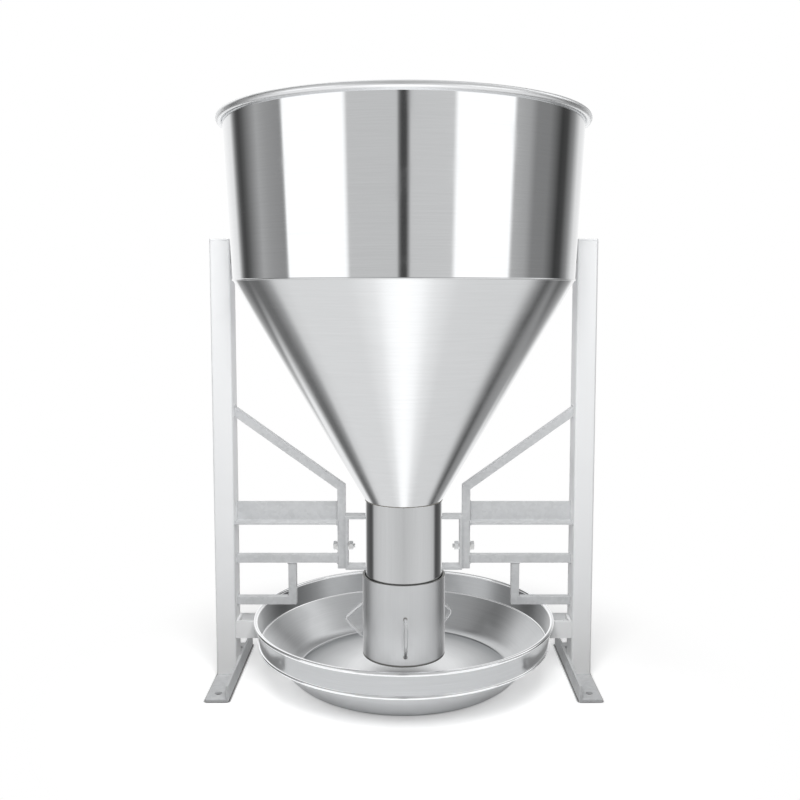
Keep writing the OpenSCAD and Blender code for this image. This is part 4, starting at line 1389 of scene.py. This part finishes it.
SHEET_WELD_R = 0.8 * MM
FRAME_WELD_R = 1.5 * MM
DROP_SPACING = 1.1
WELD_INSET = 3 * MM
SLEEVE_WELD_INSET = 2 * MM
STRAP_WELD_STEPS = 12
TUBE_WELD_STEPS = 120


def weld(name, body, finish, paths, radius, seed):
    """Weld runs along paths, as one piece."""
    values = {"Drop radius": radius, "Drop spacing": DROP_SPACING * radius, "Seed": seed, "Finish": finish}
    return put(name, grown(name, WELD_RUN, path_mesh(f"{name}_paths", paths), values), body)


def end_outline(node, axis, at):
    """The outline of a solid's flat end, across an axis at a place on it."""
    shape = solid_copy(node)
    ends = [f for f in shape.faces if all(abs(v.co[axis] - at) < SAME_POINT for v in f.verts)]
    outline = [v.co.copy() for v in max(ends, key=lambda face: face.calc_area()).verts]
    shape.free()
    return outline


def frame_welds():
    """Weld runs between bars, braces, posts and feet, and between straps and tube.

    They aren't mirrored either.
    """
    paths = []
    strap_low, strap_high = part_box("right_tube_strap")
    tube_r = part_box("outlet_tube")[1].x
    for name, side in zip(SIDES, (-1, 1)):
        post_x = min(abs(corner.x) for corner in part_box(f"{name}_post")) * side
        brace_foot = end_outline(f"{name}_brace", 2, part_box(f"{name}_brace")[0].z)
        brace_x = max(abs(point.x) for point in brace_foot) * side
        for bar in ("brace", "rail", "mid_bar", "lower_bar"):
            paths.append((end_outline(f"{name}_{bar}", 0, post_x), True))
        for bar in ("rail", "mid_bar"):
            paths.append((end_outline(f"{name}_{bar}", 0, brace_x), True))
        upright_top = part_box(f"{name}_mid_bar")[0].z
        paths.append((end_outline(f"{name}_lower_bar", 2, upright_top), True))
        post_low, post_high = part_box(f"{name}_post")
        for y in (post_low.y, post_high.y):
            ends = (post_low.x + WELD_INSET, post_high.x - WELD_INSET)
            paths.append(([(x, y, post_low.z) for x in ends], False))
        half_turn = math.degrees(math.asin(strap_high.y / tube_r))
        for z in (strap_low.z, strap_high.z):
            middle = 180 if side < 0 else 0
            steps = [2 * i / STRAP_WELD_STEPS - 1 for i in range(STRAP_WELD_STEPS + 1)]
            paths.append(([at_turn(half_turn * step + middle, tube_r, z) for step in steps], False))
    runs = weld("frame_welds", STAND, ZINC, paths, FRAME_WELD_R, 2)
    runs.visible_glossy = False


def hopper_welds():
    """The ring between cone and tube, and the lengthwise joins at the back of the sheets."""
    drum_low, drum_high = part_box("hopper_drum")
    tube_low, tube_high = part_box("outlet_tube")
    seam_r, tube_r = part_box("hopper_cone")[1].x, tube_high.x
    inset = WELD_INSET
    paths = [
        (circle(tube_r, tube_high.z, TUBE_WELD_STEPS), True),
        ([(0, seam_r, drum_low.z + inset), (0, drum_high.x, drum_high.z - inset)], False),
        ([(0, tube_r, tube_high.z + inset), (0, seam_r, drum_low.z - inset)], False),
        ([(0, tube_r, tube_low.z + inset), (0, tube_r, tube_high.z - inset)], False),
    ]
    weld("hopper_welds", STAND, WELD, paths, SHEET_WELD_R, 3)


def dress_nodes():
    """Gives each CAD node that still shows the finish of its slot."""
    for name, node in NODES.items():
        node.data.materials.clear()
        node.data.materials.append(FINISHES[SLOTS[name]])
        node.visible_glossy = name not in NOT_MIRRORED


add_camera()
add_studio()
add_lamps()
add_floor()
dress_nodes()
hopper()
bowl()
for body, nodes in EASED_NODES.items():
    for node in nodes:
        eased_solid(node, body)
fasteners()
threaded_rod()
hand_nut()
nudge_loops()
frame_welds()
hopper_welds()

bpy.context.scene.view_settings.view_transform = "Standard"
bpy.context.view_layer.update()
